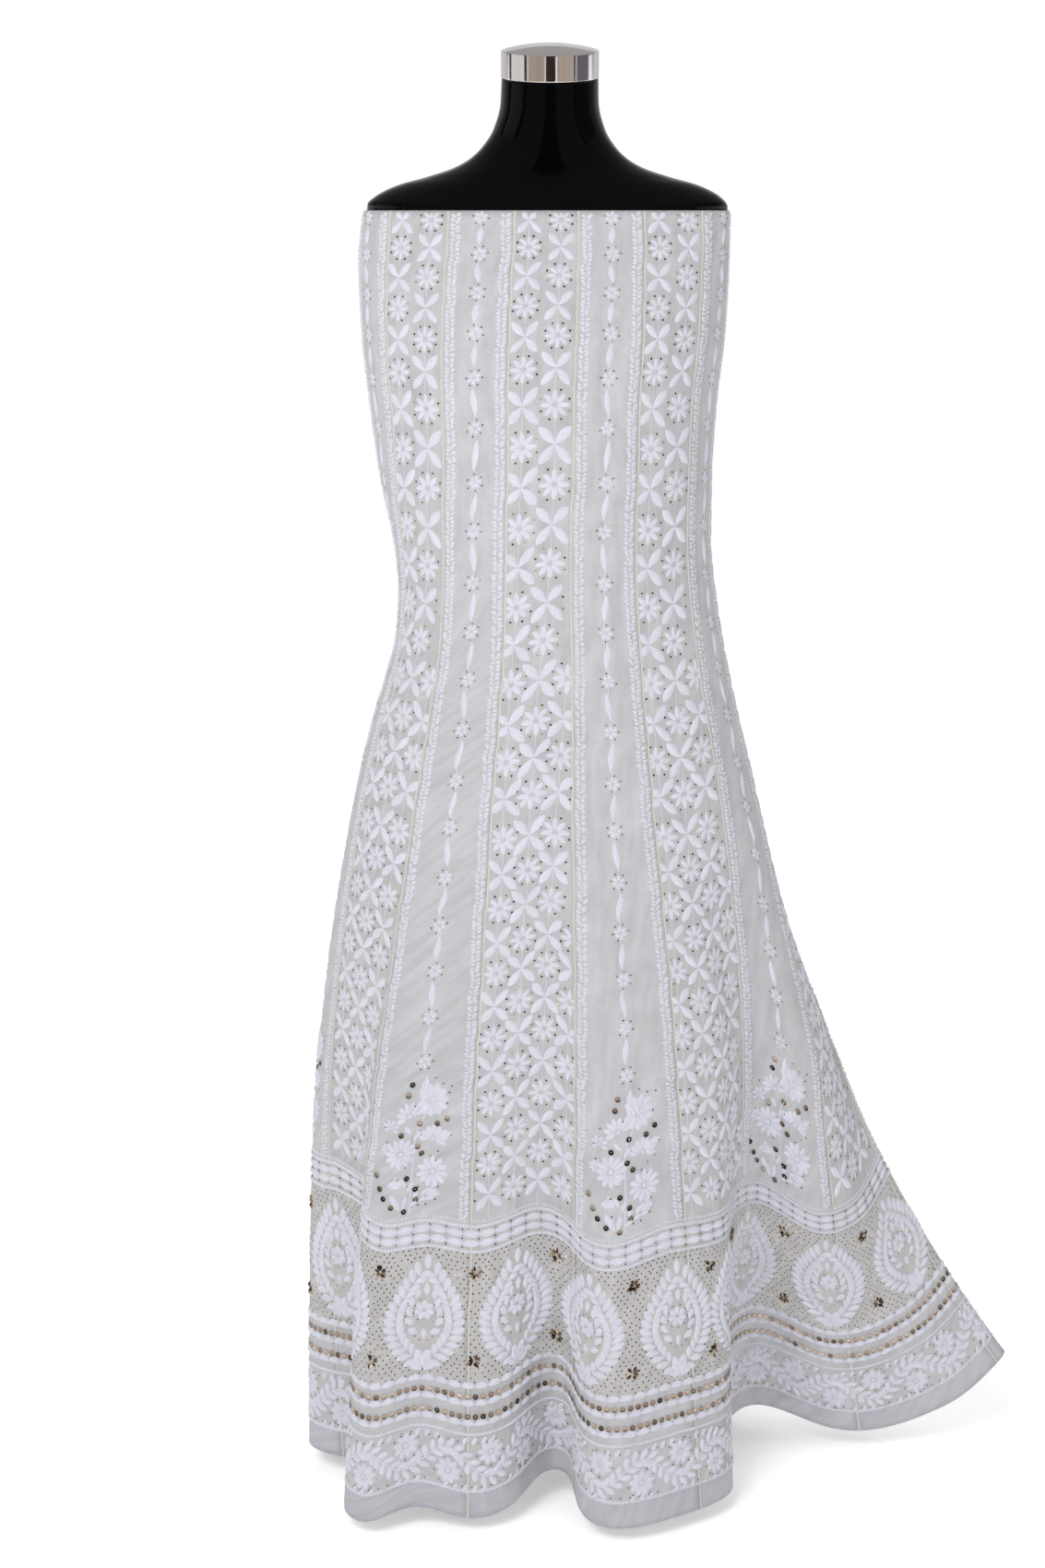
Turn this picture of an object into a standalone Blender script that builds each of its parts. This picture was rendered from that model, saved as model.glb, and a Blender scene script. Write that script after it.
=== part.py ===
"""Kalidar anarkali gown on a glossy dress form: fourteen sewn panels, the form, its neck cap and its stand.

Metres, +Z up. The origin is on the floor under the stand's pole, the front faces -Y,
and +X is to the viewer's right. The skirt is drawn out to +X as a flare.
"""

from collections import namedtuple
from math import cos, pi, radians, sin

import bpy
import numpy as np

MM = 0.001

# Gown
PANELS = 14
GOWN_DROP = 1370 * MM
HEM_CLEARANCE = 18 * MM
TOP_EDGE_Z = HEM_CLEARANCE + GOWN_DROP
HIP_DROP = 600 * MM
WALL = 1.5 * MM
SEAM_GAP = 0.3 * MM
COLUMNS_PER_PANEL = 8
BODY_ROWS = 11
SKIRT_ROWS = 9

# Dress form
FORM_COLUMNS = 56
FORM_BOTTOM_DROP = 620 * MM
NECK_CENTRE_Y = 14 * MM
NECK_TOP_RISE = 134 * MM
NECK_SIDE = 4 * MM
CAP_RADIUS = 50.5 * MM
CAP_BAND = 27 * MM
CAP_DOME = 7 * MM
CAP_TILT = radians(9)
SEAT_GAP = 0.3 * MM

# Stand
STAND_Y = 57 * MM
POLE_RADIUS = 14 * MM
FLANGE_RADIUS = 45 * MM
FLANGE_THICKNESS = 6 * MM
BASE_RADIUS = 113 * MM
BASE_THICKNESS = 14 * MM
TURNED_STEPS = 40

# How far the cloth reaches from the form's axis at each drop below the top edge. side_y is the
# depth of its widest points, square the superellipse exponent, and shift_x moves the front centre.
Section = namedtuple("Section", "drop left right front back side_y square shift_x")
SECTIONS = [
    Section(0, 190, 192, 60, 114, 26, 2.4, 0),
    Section(50, 195, 191, 82, 109, 18, 2.25, -1),
    Section(125, 192, 187, 113, 103, 6, 2.15, -4),
    Section(200, 184, 179, 129, 100, 0, 2.1, -6),
    Section(280, 173, 175, 133, 105, 0, 2.2, -7),
    Section(340, 161, 175, 135, 111, 0, 2.3, -8),
    Section(390, 156, 180, 136, 117, 0, 2.35, -9),
    Section(440, 159, 188, 138, 124, 0, 2.35, -9),
    Section(520, 181, 205, 143, 137, 0, 2.3, -11),
    Section(600, 202, 225, 150, 151, 0, 2.25, -14),
    Section(770, 233, 262, 167, 178, 0, 2.2, -18),
    Section(860, 245, 283, 176, 188, 0, 2.15, -21),
    Section(940, 254, 295, 183, 196, 0, 2.1, -23),
    Section(1120, 263, 303, 196, 206, 0, 2.1, -26),
    Section(1370, 268, 310, 206, 212, 0, 2.1, -28),
]

# Where each ridge and crease of the skirt meets the hem, by its position in the ring of panels: whole
# numbers are panel centres, halves are seams. lift is how far the hem rises there, and ease how
# late the fold grows below the hip.
Fold = namedtuple("Fold", "name kali x y lift ease")
FOLDS = [
    Fold("left_ridge", -0.50, -84, -204, 0, 2.0),
    Fold("left_ridge_slope", -0.16, -34, -183, 6, 2.0),
    Fold("front_valley", 0.22, 3, -135, 20, 2.0),
    Fold("valley_return", 0.42, 26, -142, 17, 2.0),
    Fold("right_fold_slope", 0.62, 36, -190, 5, 2.0),
    Fold("right_fold_ridge", 0.89, 68, -227, 0, 1.9),
    Fold("right_fold_front", 1.33, 140, -206, 2, 1.7),
    Fold("right_fold_edge", 1.88, 206, -142, 4, 1.4),
    Fold("side_crease", 2.42, 199, -54, 22, 1.1),
    Fold("flare_start", 2.70, 228, -4, 32, 1.3),
    Fold("flare_front", 3.34, 332, -6, 7, 1.7),
    Fold("flare_rise", 4.04, 448, -8, 31, 2.0),
    Fold("flare_lip", 4.42, 503, -4, 71, 2.1),
    Fold("flare_tip", 4.60, 528, 9, 95, 2.1),
    Fold("flare_lip_back", 4.78, 500, 24, 68, 2.1),
    Fold("flare_back", 5.30, 420, 42, 28, 2.1),
    Fold("flare_back_root", 6.04, 300, 62, 8, 1.9),
    Fold("back_right_crease", 6.63, 212, 98, 10, 1.6),
    Fold("back_right_ridge", 7.10, 184, 182, 0, 1.6),
    Fold("back_right_hollow", 7.66, 94, 176, 10, 1.6),
    Fold("back_ridge", 8.18, 26, 230, 0, 1.6),
    Fold("back_left_hollow", 8.73, -58, 178, 10, 1.6),
    Fold("back_left_ridge", 9.24, -142, 212, 0, 1.6),
    Fold("left_back_hollow", 9.79, -198, 136, 10, 1.6),
    Fold("left_back_ridge", 10.24, -257, 92, 2, 1.6),
    Fold("left_side_hollow", 10.66, -240, 28, 8, 1.6),
    Fold("left_side", 11.08, -266, -34, 8, 1.6),
    Fold("left_side_front", 11.60, -207, -84, 8, 1.8),
    Fold("left_crease", 11.98, -157, -112, 12, 2.0),
    Fold("left_fold_edge", 12.45, -216, -166, 2, 1.3),
    Fold("left_fold_ridge", 12.80, -191, -213, 0, 1.6),
    Fold("left_fold_hollow", 13.13, -143, -195, 8, 2.0),
]

# The form above the gown's top edge: rise above it, half width, and reach to the front and back.
Shoulder = namedtuple("Shoulder", "rise half_width front back square")
SHOULDERS = [
    Shoulder(7, 187, 55, 108, 2.35),
    Shoulder(14, 180, 50, 101, 2.3),
    Shoulder(21, 168, 46, 94, 2.2),
    Shoulder(27, 153, 43, 88, 2.1),
    Shoulder(34, 127, 41, 81, 2.0),
    Shoulder(44, 97, 39, 74, 2.0),
    Shoulder(54, 80, 38, 69, 2.0),
    Shoulder(66, 68, 37, 66, 2.0),
    Shoulder(82, 58, 36, 64, 2.0),
    Shoulder(108, 51, 36, 64, 2.0),
    Shoulder(134, 50, 36, 64, 2.0),
]

# The form inside the gown: how far it lies inside the cloth's outer face.
Inset = namedtuple("Inset", "drop sides depth")
INSETS = [
    Inset(0, 2.2, 2.2),
    Inset(200, 2.2, 2.2),
    Inset(280, 22, 14),
    Inset(350, 42, 30),
    Inset(450, 24, 22),
    Inset(540, 26, 16),
    Inset(620, 42, 28),
]

COLOURS = {
    "cloth": (0.78, 0.78, 0.76, 1.0),
    "black": (0.004, 0.004, 0.005, 1.0),
    "chrome": (0.8, 0.79, 0.78, 1.0),
    "steel": (0.55, 0.55, 0.56, 1.0),
}


def smooth_column(xs, ys, x):
    """Cubic through a table's column that never overshoots its rows: tangents are harmonic means of the slopes."""
    xs, ys, x = (np.asarray(a, float) for a in (xs, ys, x))
    secants = np.diff(ys) / np.diff(xs)
    before, after = secants[:-1], secants[1:]
    same_way = before * after > 0
    total = np.where(same_way, before + after, 1.0)
    inner = np.where(same_way, 2 * before * after / total, 0.0)
    slopes = np.concatenate([secants[:1], inner, secants[-1:]])
    i = np.clip(np.searchsorted(xs, x, side="right") - 1, 0, len(xs) - 2)
    step = xs[i + 1] - xs[i]
    t = (x - xs[i]) / step
    start = (1 + 2 * t) * (1 - t) ** 2 * ys[i] + t * (1 - t) ** 2 * step * slopes[i]
    end = t * t * (3 - 2 * t) * ys[i + 1] - t * t * (1 - t) * step * slopes[i + 1]
    return start + end


def table_at(table, key, value):
    """One row of a table, read between its rows at value of its key column."""
    keys = [getattr(row, key) for row in table]
    read = {f: float(smooth_column(keys, [getattr(r, f) for r in table], value)) for f in table[0]._fields}
    return type(table[0])(**read)


def signed_power(values, exponent):
    return np.sign(values) * np.abs(values) ** exponent


def outline(section, count=960):
    """Closed superellipse whose four quadrants have their own reach, from the front towards +X."""
    angle = np.linspace(0, 2 * pi, count, endpoint=False)
    across, ahead = (signed_power(f(angle), 2 / section.square) for f in (np.sin, np.cos))
    x = np.where(across > 0, section.right, section.left) * across
    y = section.side_y - np.where(ahead > 0, section.front + section.side_y, section.back - section.side_y) * ahead
    return np.stack([x, y], axis=1) * MM


def walk(points, start, steps):
    """Points of a closed polyline at the given shares of its length, counted from its nearest point to start."""
    first = np.argmin(np.linalg.norm(points - start, axis=1))
    ring = np.roll(points, -first, axis=0)
    ring = np.vstack([ring, ring[:1]])
    length = np.concatenate([[0], np.cumsum(np.linalg.norm(np.diff(ring[:, :2], axis=0), axis=1))])
    at = np.mod(steps, 1.0) * length[-1]
    return np.stack([np.interp(at, length, ring[:, c]) for c in range(ring.shape[1])], axis=1)


def closed_spline(at_knots, knots, period, at):
    """Periodic cubic spline through the knots, smooth to the second derivative."""
    n = len(knots)
    spans = np.diff(np.append(at_knots, at_knots[0] + period))
    system = np.zeros((n, n))
    index = np.arange(n)
    system[index, (index - 1) % n] = np.roll(spans, 1)
    system[index, index] = 2 * (np.roll(spans, 1) + spans)
    system[index, (index + 1) % n] = spans
    rise = (np.roll(knots, -1, axis=0) - knots) / spans[:, None]
    bend = np.linalg.solve(system, 6 * (rise - np.roll(rise, 1, axis=0)))
    along = np.mod(at - at_knots[0], period)
    ends = np.concatenate([[0], np.cumsum(spans)])
    i = np.clip(np.searchsorted(ends, along, side="right") - 1, 0, n - 1)
    h = spans[i][:, None]
    a = (ends[i + 1] - along)[:, None]
    b = (along - ends[i])[:, None]
    after = (i + 1) % n
    cubic = (bend[i] * a**3 + bend[after] * b**3) / (6 * h)
    linear = (knots[i] / h - bend[i] * h / 6) * a + (knots[after] / h - bend[after] * h / 6) * b
    return cubic + linear


def hem_ring(panel_positions):
    """Hem points, lift and ease at panel positions along the folded hem."""
    knots = np.array([(f.x, f.y, f.lift, f.ease) for f in FOLDS], float)
    at_knots = np.array([f.kali for f in FOLDS])
    ring = closed_spline(at_knots, knots, PANELS, panel_positions)
    return ring[:, :2] * MM, ring[:, 2] * MM, ring[:, 3]


def body_ring(drop, panel_positions):
    """Unfolded outline at a drop, at panel positions spaced by arc length from the front centre."""
    section = table_at(SECTIONS, "drop", drop / MM)
    ring = outline(section)
    front = np.array([section.shift_x, -section.front]) * MM
    return walk(ring, front, panel_positions / PANELS)


def cloth_row(row_drop, panel_positions):
    """Outer face of the gown at one nominal drop: body outline, plus the folds grown by their ease."""
    flat = body_ring(row_drop, panel_positions)
    below = max(0.0, (row_drop - HIP_DROP) / (GOWN_DROP - HIP_DROP))
    hem, lift, ease = hem_ring(panel_positions)
    grown = below**ease
    plan = flat + grown[:, None] * (hem - body_ring(GOWN_DROP, panel_positions))
    return np.column_stack([plan, TOP_EDGE_Z - row_drop + lift * below])


def seam_to_seam(row, columns):
    """Points of one panel's row, even along it, that stop half a seam gap short of both seams."""
    length = np.concatenate([[0], np.cumsum(np.linalg.norm(np.diff(row, axis=0), axis=1))])
    at = np.linspace(SEAM_GAP / 2, length[-1] - SEAM_GAP / 2, columns + 1)
    return np.stack([np.interp(at, length, row[:, c]) for c in range(3)], axis=1)


def gown_grid(drops, columns, fine=12):
    """Outer face of all panels as rows x panels x columns, and the normals there, which seams share."""
    count = PANELS * columns
    positions = -0.5 + np.arange(count * fine + 1) / (columns * fine)
    outer = np.empty((len(drops), PANELS, columns + 1, 3))
    shared = np.empty((len(drops), count, 3))
    for r, drop in enumerate(drops):
        row = cloth_row(drop, positions)
        shared[r] = row[:-1:fine]
        for panel in range(PANELS):
            start = panel * columns * fine
            outer[r, panel] = seam_to_seam(row[start : start + columns * fine + 1], columns)
    down = np.gradient(shared, axis=0)
    along = np.roll(shared, -1, axis=1) - np.roll(shared, 1, axis=1)
    normal = np.cross(down, along)
    normal /= np.linalg.norm(normal, axis=2, keepdims=True)
    columns_of = (np.arange(PANELS)[:, None] * columns + np.arange(columns + 1)) % count
    return outer, normal[:, columns_of]


def row_drops():
    """Nominal drops of the rows: even above the hip, and even below it."""
    body = np.linspace(0, HIP_DROP, BODY_ROWS)
    skirt = np.linspace(HIP_DROP, GOWN_DROP, SKIRT_ROWS)[1:]
    return np.concatenate([body, skirt])


def principled(name, colour, roughness, metallic=0.0):
    material = bpy.data.materials.new(name)
    material.use_nodes = True
    shader = material.node_tree.nodes["Principled BSDF"]
    shader.inputs["Base Color"].default_value = colour
    shader.inputs["Roughness"].default_value = roughness
    shader.inputs["Metallic"].default_value = metallic
    return material


def add_mesh(name, points, faces, material):
    mesh = bpy.data.meshes.new(name)
    mesh.from_pydata([tuple(p) for p in points], [], faces)
    mesh.update()
    mesh.shade_smooth()
    mesh.set_sharp_from_angle(angle=radians(50))
    mesh.materials.append(material)
    node = bpy.data.objects.new(name, mesh)
    bpy.context.scene.collection.objects.link(node)
    return node


def wall_faces(rows, columns):
    """Faces of a closed wall: outer grid first, inner grid after it. Both seam faces are split along the same line."""
    count = rows * columns
    faces = []
    for r in range(rows - 1):
        for c in range(columns - 1):
            a = r * columns + c
            quad = (a, a + columns, a + columns + 1, a + 1)
            faces.append(quad)
            faces.append(tuple(i + count for i in reversed(quad)))
        left, right = r * columns, r * columns + columns - 1
        faces.append((left, left + count, left + columns + count))
        faces.append((left, left + columns + count, left + columns))
        faces.append((right, right + columns + count, right + count))
        faces.append((right, right + columns, right + columns + count))
    for c in range(columns - 1):
        top, bottom = c, (rows - 1) * columns + c
        faces.append((top, top + 1, top + 1 + count, top + count))
        faces.append((bottom + 1, bottom, bottom + count, bottom + 1 + count))
    return faces


def build_panels(material):
    """The kalis in turn from the front centre towards +X: each a wall between two seams, from top edge to hem."""
    outer, normals = gown_grid(row_drops(), COLUMNS_PER_PANEL)
    inner = outer - WALL * normals
    rows, _, columns, _ = outer.shape
    faces = wall_faces(rows, columns)
    for panel in range(PANELS):
        points = np.concatenate([outer[:, panel].reshape(-1, 3), inner[:, panel].reshape(-1, 3)])
        kind = "jaal" if panel % 2 == 0 else "plain"
        add_mesh(f"{kind}_kali_{panel + 1:02d}", points, faces, material)


def form_ring_inside(drop):
    """Section of the form inside the gown, inset from the cloth."""
    cloth = table_at(SECTIONS, "drop", drop / MM)
    inset = table_at(INSETS, "drop", drop / MM)
    inner = cloth._replace(
        left=cloth.left - inset.sides,
        right=cloth.right - inset.sides,
        front=cloth.front - inset.depth,
        back=cloth.back - inset.depth,
    )
    plan = walk(outline(inner), np.array([inner.shift_x, -inner.front]) * MM, np.arange(FORM_COLUMNS) / FORM_COLUMNS)
    return np.column_stack([plan, np.full(len(plan), TOP_EDGE_Z - drop)])


def form_ring_above(shoulder):
    """Section of the form's shoulders and neck. The neck stands a little to +X and its top leans to the front."""
    section = Section(0, shoulder.half_width, shoulder.half_width, shoulder.front, shoulder.back,
                      NECK_CENTRE_Y / MM, shoulder.square, 0)
    plan = walk(outline(section), np.array([0, -shoulder.front]) * MM, np.arange(FORM_COLUMNS) / FORM_COLUMNS)
    share = shoulder.rise * MM / NECK_TOP_RISE
    plan[:, 0] += NECK_SIDE * share**0.4
    z = TOP_EDGE_Z + shoulder.rise * MM + np.tan(CAP_TILT) * share**2 * (plan[:, 1] - NECK_CENTRE_Y)
    return np.column_stack([plan, z])


def build_form(material):
    """Torso of the dress form: rings from the neck down to a flat bottom, closed at both ends."""
    above = [form_ring_above(s) for s in reversed(SHOULDERS)]
    drops = [d for d in row_drops() if d <= HIP_DROP + 1e-6] + [FORM_BOTTOM_DROP]
    rings = above + [form_ring_inside(d) for d in drops]
    points = np.concatenate(rings)
    n = FORM_COLUMNS
    faces = []
    for r in range(len(rings) - 1):
        for c in range(n):
            faces.append((r * n + c, (r + 1) * n + c, (r + 1) * n + (c + 1) % n, r * n + (c + 1) % n))
    last = (len(rings) - 1) * n
    faces.append(tuple(range(n)))
    faces.append(tuple(last + c for c in reversed(range(n))))
    return add_mesh("form_torso", points, faces, material)


def turned(name, profile, material):
    """Solid of revolution about Z. The profile is (radius, height) from the axis at the top, outwards and down."""
    points = []
    faces = []
    for radius, z in profile:
        for s in range(TURNED_STEPS):
            angle = 2 * pi * s / TURNED_STEPS
            points.append((radius * cos(angle), radius * sin(angle), z))
    n = TURNED_STEPS
    for r in range(len(profile) - 1):
        for s in range(n):
            faces.append((r * n + s, (r + 1) * n + s, (r + 1) * n + (s + 1) % n, r * n + (s + 1) % n))
    faces.append(tuple(range(n)))
    faces.append(tuple((len(profile) - 1) * n + s for s in reversed(range(n))))
    return add_mesh(name, points, faces, material)


def build_cap(material):
    """Polished neck cap: a straight band under a shallow dome, leaning with the neck's top."""
    dome_steps = 4
    dome = []
    for i in range(1, dome_steps + 1):
        share = i / dome_steps
        dome.append((CAP_RADIUS * share, CAP_BAND + CAP_DOME * (1 - share**2)))
    profile = dome + [(CAP_RADIUS, 0.0)]
    cap = turned("form_neck_cap", profile, material)
    cap.location = (NECK_SIDE, NECK_CENTRE_Y, TOP_EDGE_Z + NECK_TOP_RISE + SEAT_GAP)
    cap.rotation_euler = (CAP_TILT, 0, 0)
    return cap


def build_stand(material):
    """Pole with a flange under the form, and a round base plate that stands on the floor."""
    pole_top = TOP_EDGE_Z - FORM_BOTTOM_DROP - SEAT_GAP
    pole_bottom = BASE_THICKNESS + SEAT_GAP
    edge = 1 * MM
    pole = turned(
        "stand_pole",
        [
            (FLANGE_RADIUS - edge, pole_top),
            (FLANGE_RADIUS, pole_top - edge),
            (FLANGE_RADIUS, pole_top - FLANGE_THICKNESS),
            (POLE_RADIUS, pole_top - FLANGE_THICKNESS - edge),
            (POLE_RADIUS, pole_bottom),
        ],
        material,
    )
    base = turned(
        "stand_base",
        [
            (BASE_RADIUS - 4 * edge, BASE_THICKNESS),
            (BASE_RADIUS - edge, BASE_THICKNESS - edge),
            (BASE_RADIUS, BASE_THICKNESS - 4 * edge),
            (BASE_RADIUS, 0.0),
        ],
        material,
    )
    for piece in (pole, base):
        piece.location = (0, STAND_Y, 0)
    return pole, base


def main():
    for obj in list(bpy.data.objects):
        bpy.data.objects.remove(obj)
    cloth = principled("cloth", COLOURS["cloth"], 0.9)
    build_panels(cloth)
    build_form(principled("gloss_black", COLOURS["black"], 0.12))
    build_cap(principled("chrome", COLOURS["chrome"], 0.12, 1.0))
    build_stand(principled("steel", COLOURS["steel"], 0.3, 1.0))


main()
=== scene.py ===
"""Looks of the kalidar anarkali gown on its dress form: cloth, threadwork, sequins, form, stand and studio.

Metres, +Z up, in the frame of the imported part: the front faces -Y and the skirt is drawn out to +X.
The gown's face is read by two numbers: the kali position, where whole numbers are the centres of the
fourteen panels and halves are their seams, and the pattern's height, counted up the cloth from the hem.
Every stitched shape is a small grid laid on the cloth by those two and lifted along its normal, and its
measures are in mm.
"""

from collections import namedtuple
from math import cos, pi, radians, sin

import bpy
import numpy as np
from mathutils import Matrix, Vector


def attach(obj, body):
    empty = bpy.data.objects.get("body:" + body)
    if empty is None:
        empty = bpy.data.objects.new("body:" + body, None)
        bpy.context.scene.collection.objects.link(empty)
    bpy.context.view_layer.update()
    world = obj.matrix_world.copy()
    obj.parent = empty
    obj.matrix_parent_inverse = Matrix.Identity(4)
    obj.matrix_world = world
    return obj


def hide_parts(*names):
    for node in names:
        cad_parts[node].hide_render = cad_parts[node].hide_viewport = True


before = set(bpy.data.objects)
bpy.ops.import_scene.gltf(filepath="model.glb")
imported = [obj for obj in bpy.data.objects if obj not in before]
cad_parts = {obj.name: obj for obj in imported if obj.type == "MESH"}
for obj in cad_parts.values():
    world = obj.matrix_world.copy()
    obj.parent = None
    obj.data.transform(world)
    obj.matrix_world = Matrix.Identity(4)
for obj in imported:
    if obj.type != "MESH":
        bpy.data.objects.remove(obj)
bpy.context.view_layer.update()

MM = 0.001

# Gown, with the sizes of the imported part
PANELS = 14
GOWN_LENGTH = 1370
GOWN_DROP = GOWN_LENGTH * MM
HEM_CLEARANCE = 18 * MM
TOP_EDGE_Z = HEM_CLEARANCE + GOWN_DROP
HIP_DROP = 600 * MM
SEAM_GAP = 0.3 * MM
SHELL = 0.9 * MM
COLUMNS = 20
ROWS = 170
RING = PANELS * COLUMNS
THREADS_PER_METRE = 2400.0

# Heights of the border's parts above the hem, in mm
HEM_STRIP_TOP = 28
NET_BOTTOM = 147
NET_TOP = 291
BORDER_TOP = 325
PLAIN_FROM = 700

# How far up the cloth the border's pattern reaches, as a share: it sits lower on the drawn-out flare
Reach = namedtuple("Reach", "kali share")
REACHES = [
    Reach(-2.4, 1.08),
    Reach(-0.9, 1.0),
    Reach(0.0, 1.02),
    Reach(0.7, 0.95),
    Reach(1.4, 1.0),
    Reach(2.6, 0.95),
    Reach(3.4, 0.845),
    Reach(4.4, 0.855),
    Reach(5.4, 0.93),
    Reach(6.6, 1.0),
    Reach(9.0, 1.0),
    Reach(11.6, 1.08),
]

# Cloth sections: how far it reaches at each drop below the top edge, in mm
Section = namedtuple("Section", "drop left right front back side_y square shift_x")
SECTIONS = [
    Section(0, 190, 192, 60, 114, 26, 2.4, 0),
    Section(50, 195, 191, 82, 109, 18, 2.25, -1),
    Section(125, 192, 187, 113, 103, 6, 2.15, -4),
    Section(200, 184, 179, 129, 100, 0, 2.1, -6),
    Section(280, 173, 175, 133, 105, 0, 2.2, -7),
    Section(340, 161, 175, 135, 111, 0, 2.3, -8),
    Section(390, 156, 180, 136, 117, 0, 2.35, -9),
    Section(440, 159, 188, 138, 124, 0, 2.35, -9),
    Section(520, 181, 205, 143, 137, 0, 2.3, -11),
    Section(600, 202, 225, 150, 151, 0, 2.25, -14),
    Section(770, 233, 262, 167, 178, 0, 2.2, -18),
    Section(860, 245, 283, 176, 188, 0, 2.15, -21),
    Section(940, 254, 295, 183, 196, 0, 2.1, -23),
    Section(1120, 263, 303, 196, 206, 0, 2.1, -26),
    Section(1370, 268, 310, 206, 212, 0, 2.1, -28),
]

# Large folds: where each ridge and crease meets the hem and how far the hem rises there, in mm, and how late
# it grows
Fold = namedtuple("Fold", "name kali x y lift ease")
FOLDS = [
    Fold("left_ridge", -0.50, -84, -204, 0, 2.0),
    Fold("left_ridge_slope", -0.16, -34, -183, 6, 2.0),
    Fold("front_valley", 0.22, 3, -135, 20, 2.0),
    Fold("valley_return", 0.42, 26, -142, 17, 2.0),
    Fold("right_fold_slope", 0.62, 36, -190, 5, 2.0),
    Fold("right_fold_ridge", 0.89, 68, -227, 0, 1.9),
    Fold("right_fold_front", 1.33, 140, -206, 2, 1.7),
    Fold("right_fold_edge", 1.88, 206, -142, 4, 1.4),
    Fold("side_crease", 2.42, 199, -54, 22, 1.1),
    Fold("flare_start", 2.70, 228, -4, 32, 1.3),
    Fold("flare_front", 3.34, 332, -6, 7, 1.7),
    Fold("flare_rise", 4.04, 448, -8, 31, 2.0),
    Fold("flare_lip", 4.42, 503, -4, 71, 2.1),
    Fold("flare_tip", 4.60, 528, 9, 95, 2.1),
    Fold("flare_lip_back", 4.78, 500, 24, 68, 2.1),
    Fold("flare_back", 5.30, 420, 42, 28, 2.1),
    Fold("flare_back_root", 6.04, 300, 62, 8, 1.9),
    Fold("back_right_crease", 6.63, 212, 98, 10, 1.6),
    Fold("back_right_ridge", 7.10, 184, 182, 0, 1.6),
    Fold("back_right_hollow", 7.66, 94, 176, 10, 1.6),
    Fold("back_ridge", 8.18, 26, 230, 0, 1.6),
    Fold("back_left_hollow", 8.73, -58, 178, 10, 1.6),
    Fold("back_left_ridge", 9.24, -142, 212, 0, 1.6),
    Fold("left_back_hollow", 9.79, -198, 136, 10, 1.6),
    Fold("left_back_ridge", 10.24, -257, 92, 2, 1.6),
    Fold("left_side_hollow", 10.66, -240, 28, 8, 1.6),
    Fold("left_side", 11.08, -266, -34, 8, 1.6),
    Fold("left_side_front", 11.60, -207, -84, 8, 1.8),
    Fold("left_crease", 11.98, -157, -112, 12, 2.0),
    Fold("left_fold_edge", 12.45, -216, -166, 2, 1.3),
    Fold("left_fold_ridge", 12.80, -191, -213, 0, 1.6),
    Fold("left_fold_hollow", 13.13, -143, -195, 8, 2.0),
]

# Soft creases, given one by one: centre, half length and half width in mm, height of the ripple in mm
# (a trough is negative), and its lean from upright in degrees.
Crease = namedtuple("Crease", "kali height half_long half_wide rise lean")
CREASES = [
    Crease(-0.9, 560, 230, 13, -2.2, 4),
    Crease(-0.62, 640, 180, 11, 1.6, 6),
    Crease(0.35, 520, 210, 12, -2.0, -3),
    Crease(0.75, 600, 160, 12, 1.5, -5),
    Crease(1.2, 470, 190, 14, -2.4, -6),
    Crease(1.55, 560, 200, 12, 1.8, -7),
    Crease(2.1, 640, 170, 12, -2.0, -9),
    Crease(2.3, 420, 180, 12, 1.8, -10),
    Crease(3.0, 520, 220, 14, -2.6, -14),
    Crease(3.5, 430, 200, 15, 2.0, -18),
    Crease(3.9, 330, 150, 13, -2.2, -20),
    Crease(4.9, 420, 200, 14, -2.2, 20),
    Crease(5.6, 470, 210, 14, 2.2, 16),
    Crease(6.4, 560, 220, 13, -2.4, 8),
    Crease(6.9, 450, 180, 13, 1.8, 6),
    Crease(7.4, 620, 200, 12, -2.0, 3),
    Crease(8.0, 500, 210, 13, 1.8, 0),
    Crease(8.5, 580, 190, 12, -2.2, -2),
    Crease(9.0, 470, 200, 13, -1.8, -4),
    Crease(9.5, 600, 190, 12, 1.6, -4),
    Crease(10.0, 520, 210, 13, -2.2, -6),
    Crease(10.6, 600, 170, 12, 1.8, -4),
    Crease(11.3, 500, 200, 13, -2.2, 5),
    Crease(11.8, 620, 190, 11, 1.6, 7),
    Crease(12.3, 520, 200, 12, -2.0, 8),
    Crease(12.9, 430, 180, 12, 1.6, 6),
    Crease(1.0, 830, 70, 8, -1.1, 62),
    Crease(1.1, 760, 60, 7, 0.9, 70),
    Crease(13.0, 800, 70, 8, -1.1, -60),
    Crease(13.1, 700, 60, 7, 0.9, -66),
    Crease(3.0, 800, 80, 8, -1.2, 58),
    Crease(2.9, 700, 70, 8, 1.0, 52),
    Crease(5.5, 820, 80, 8, -1.2, -56),
    Crease(7.2, 900, 70, 8, -1.1, 66),
    Crease(8.6, 880, 80, 8, 1.0, -70),
    Crease(10.4, 860, 70, 8, -1.1, 60),
]

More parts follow.
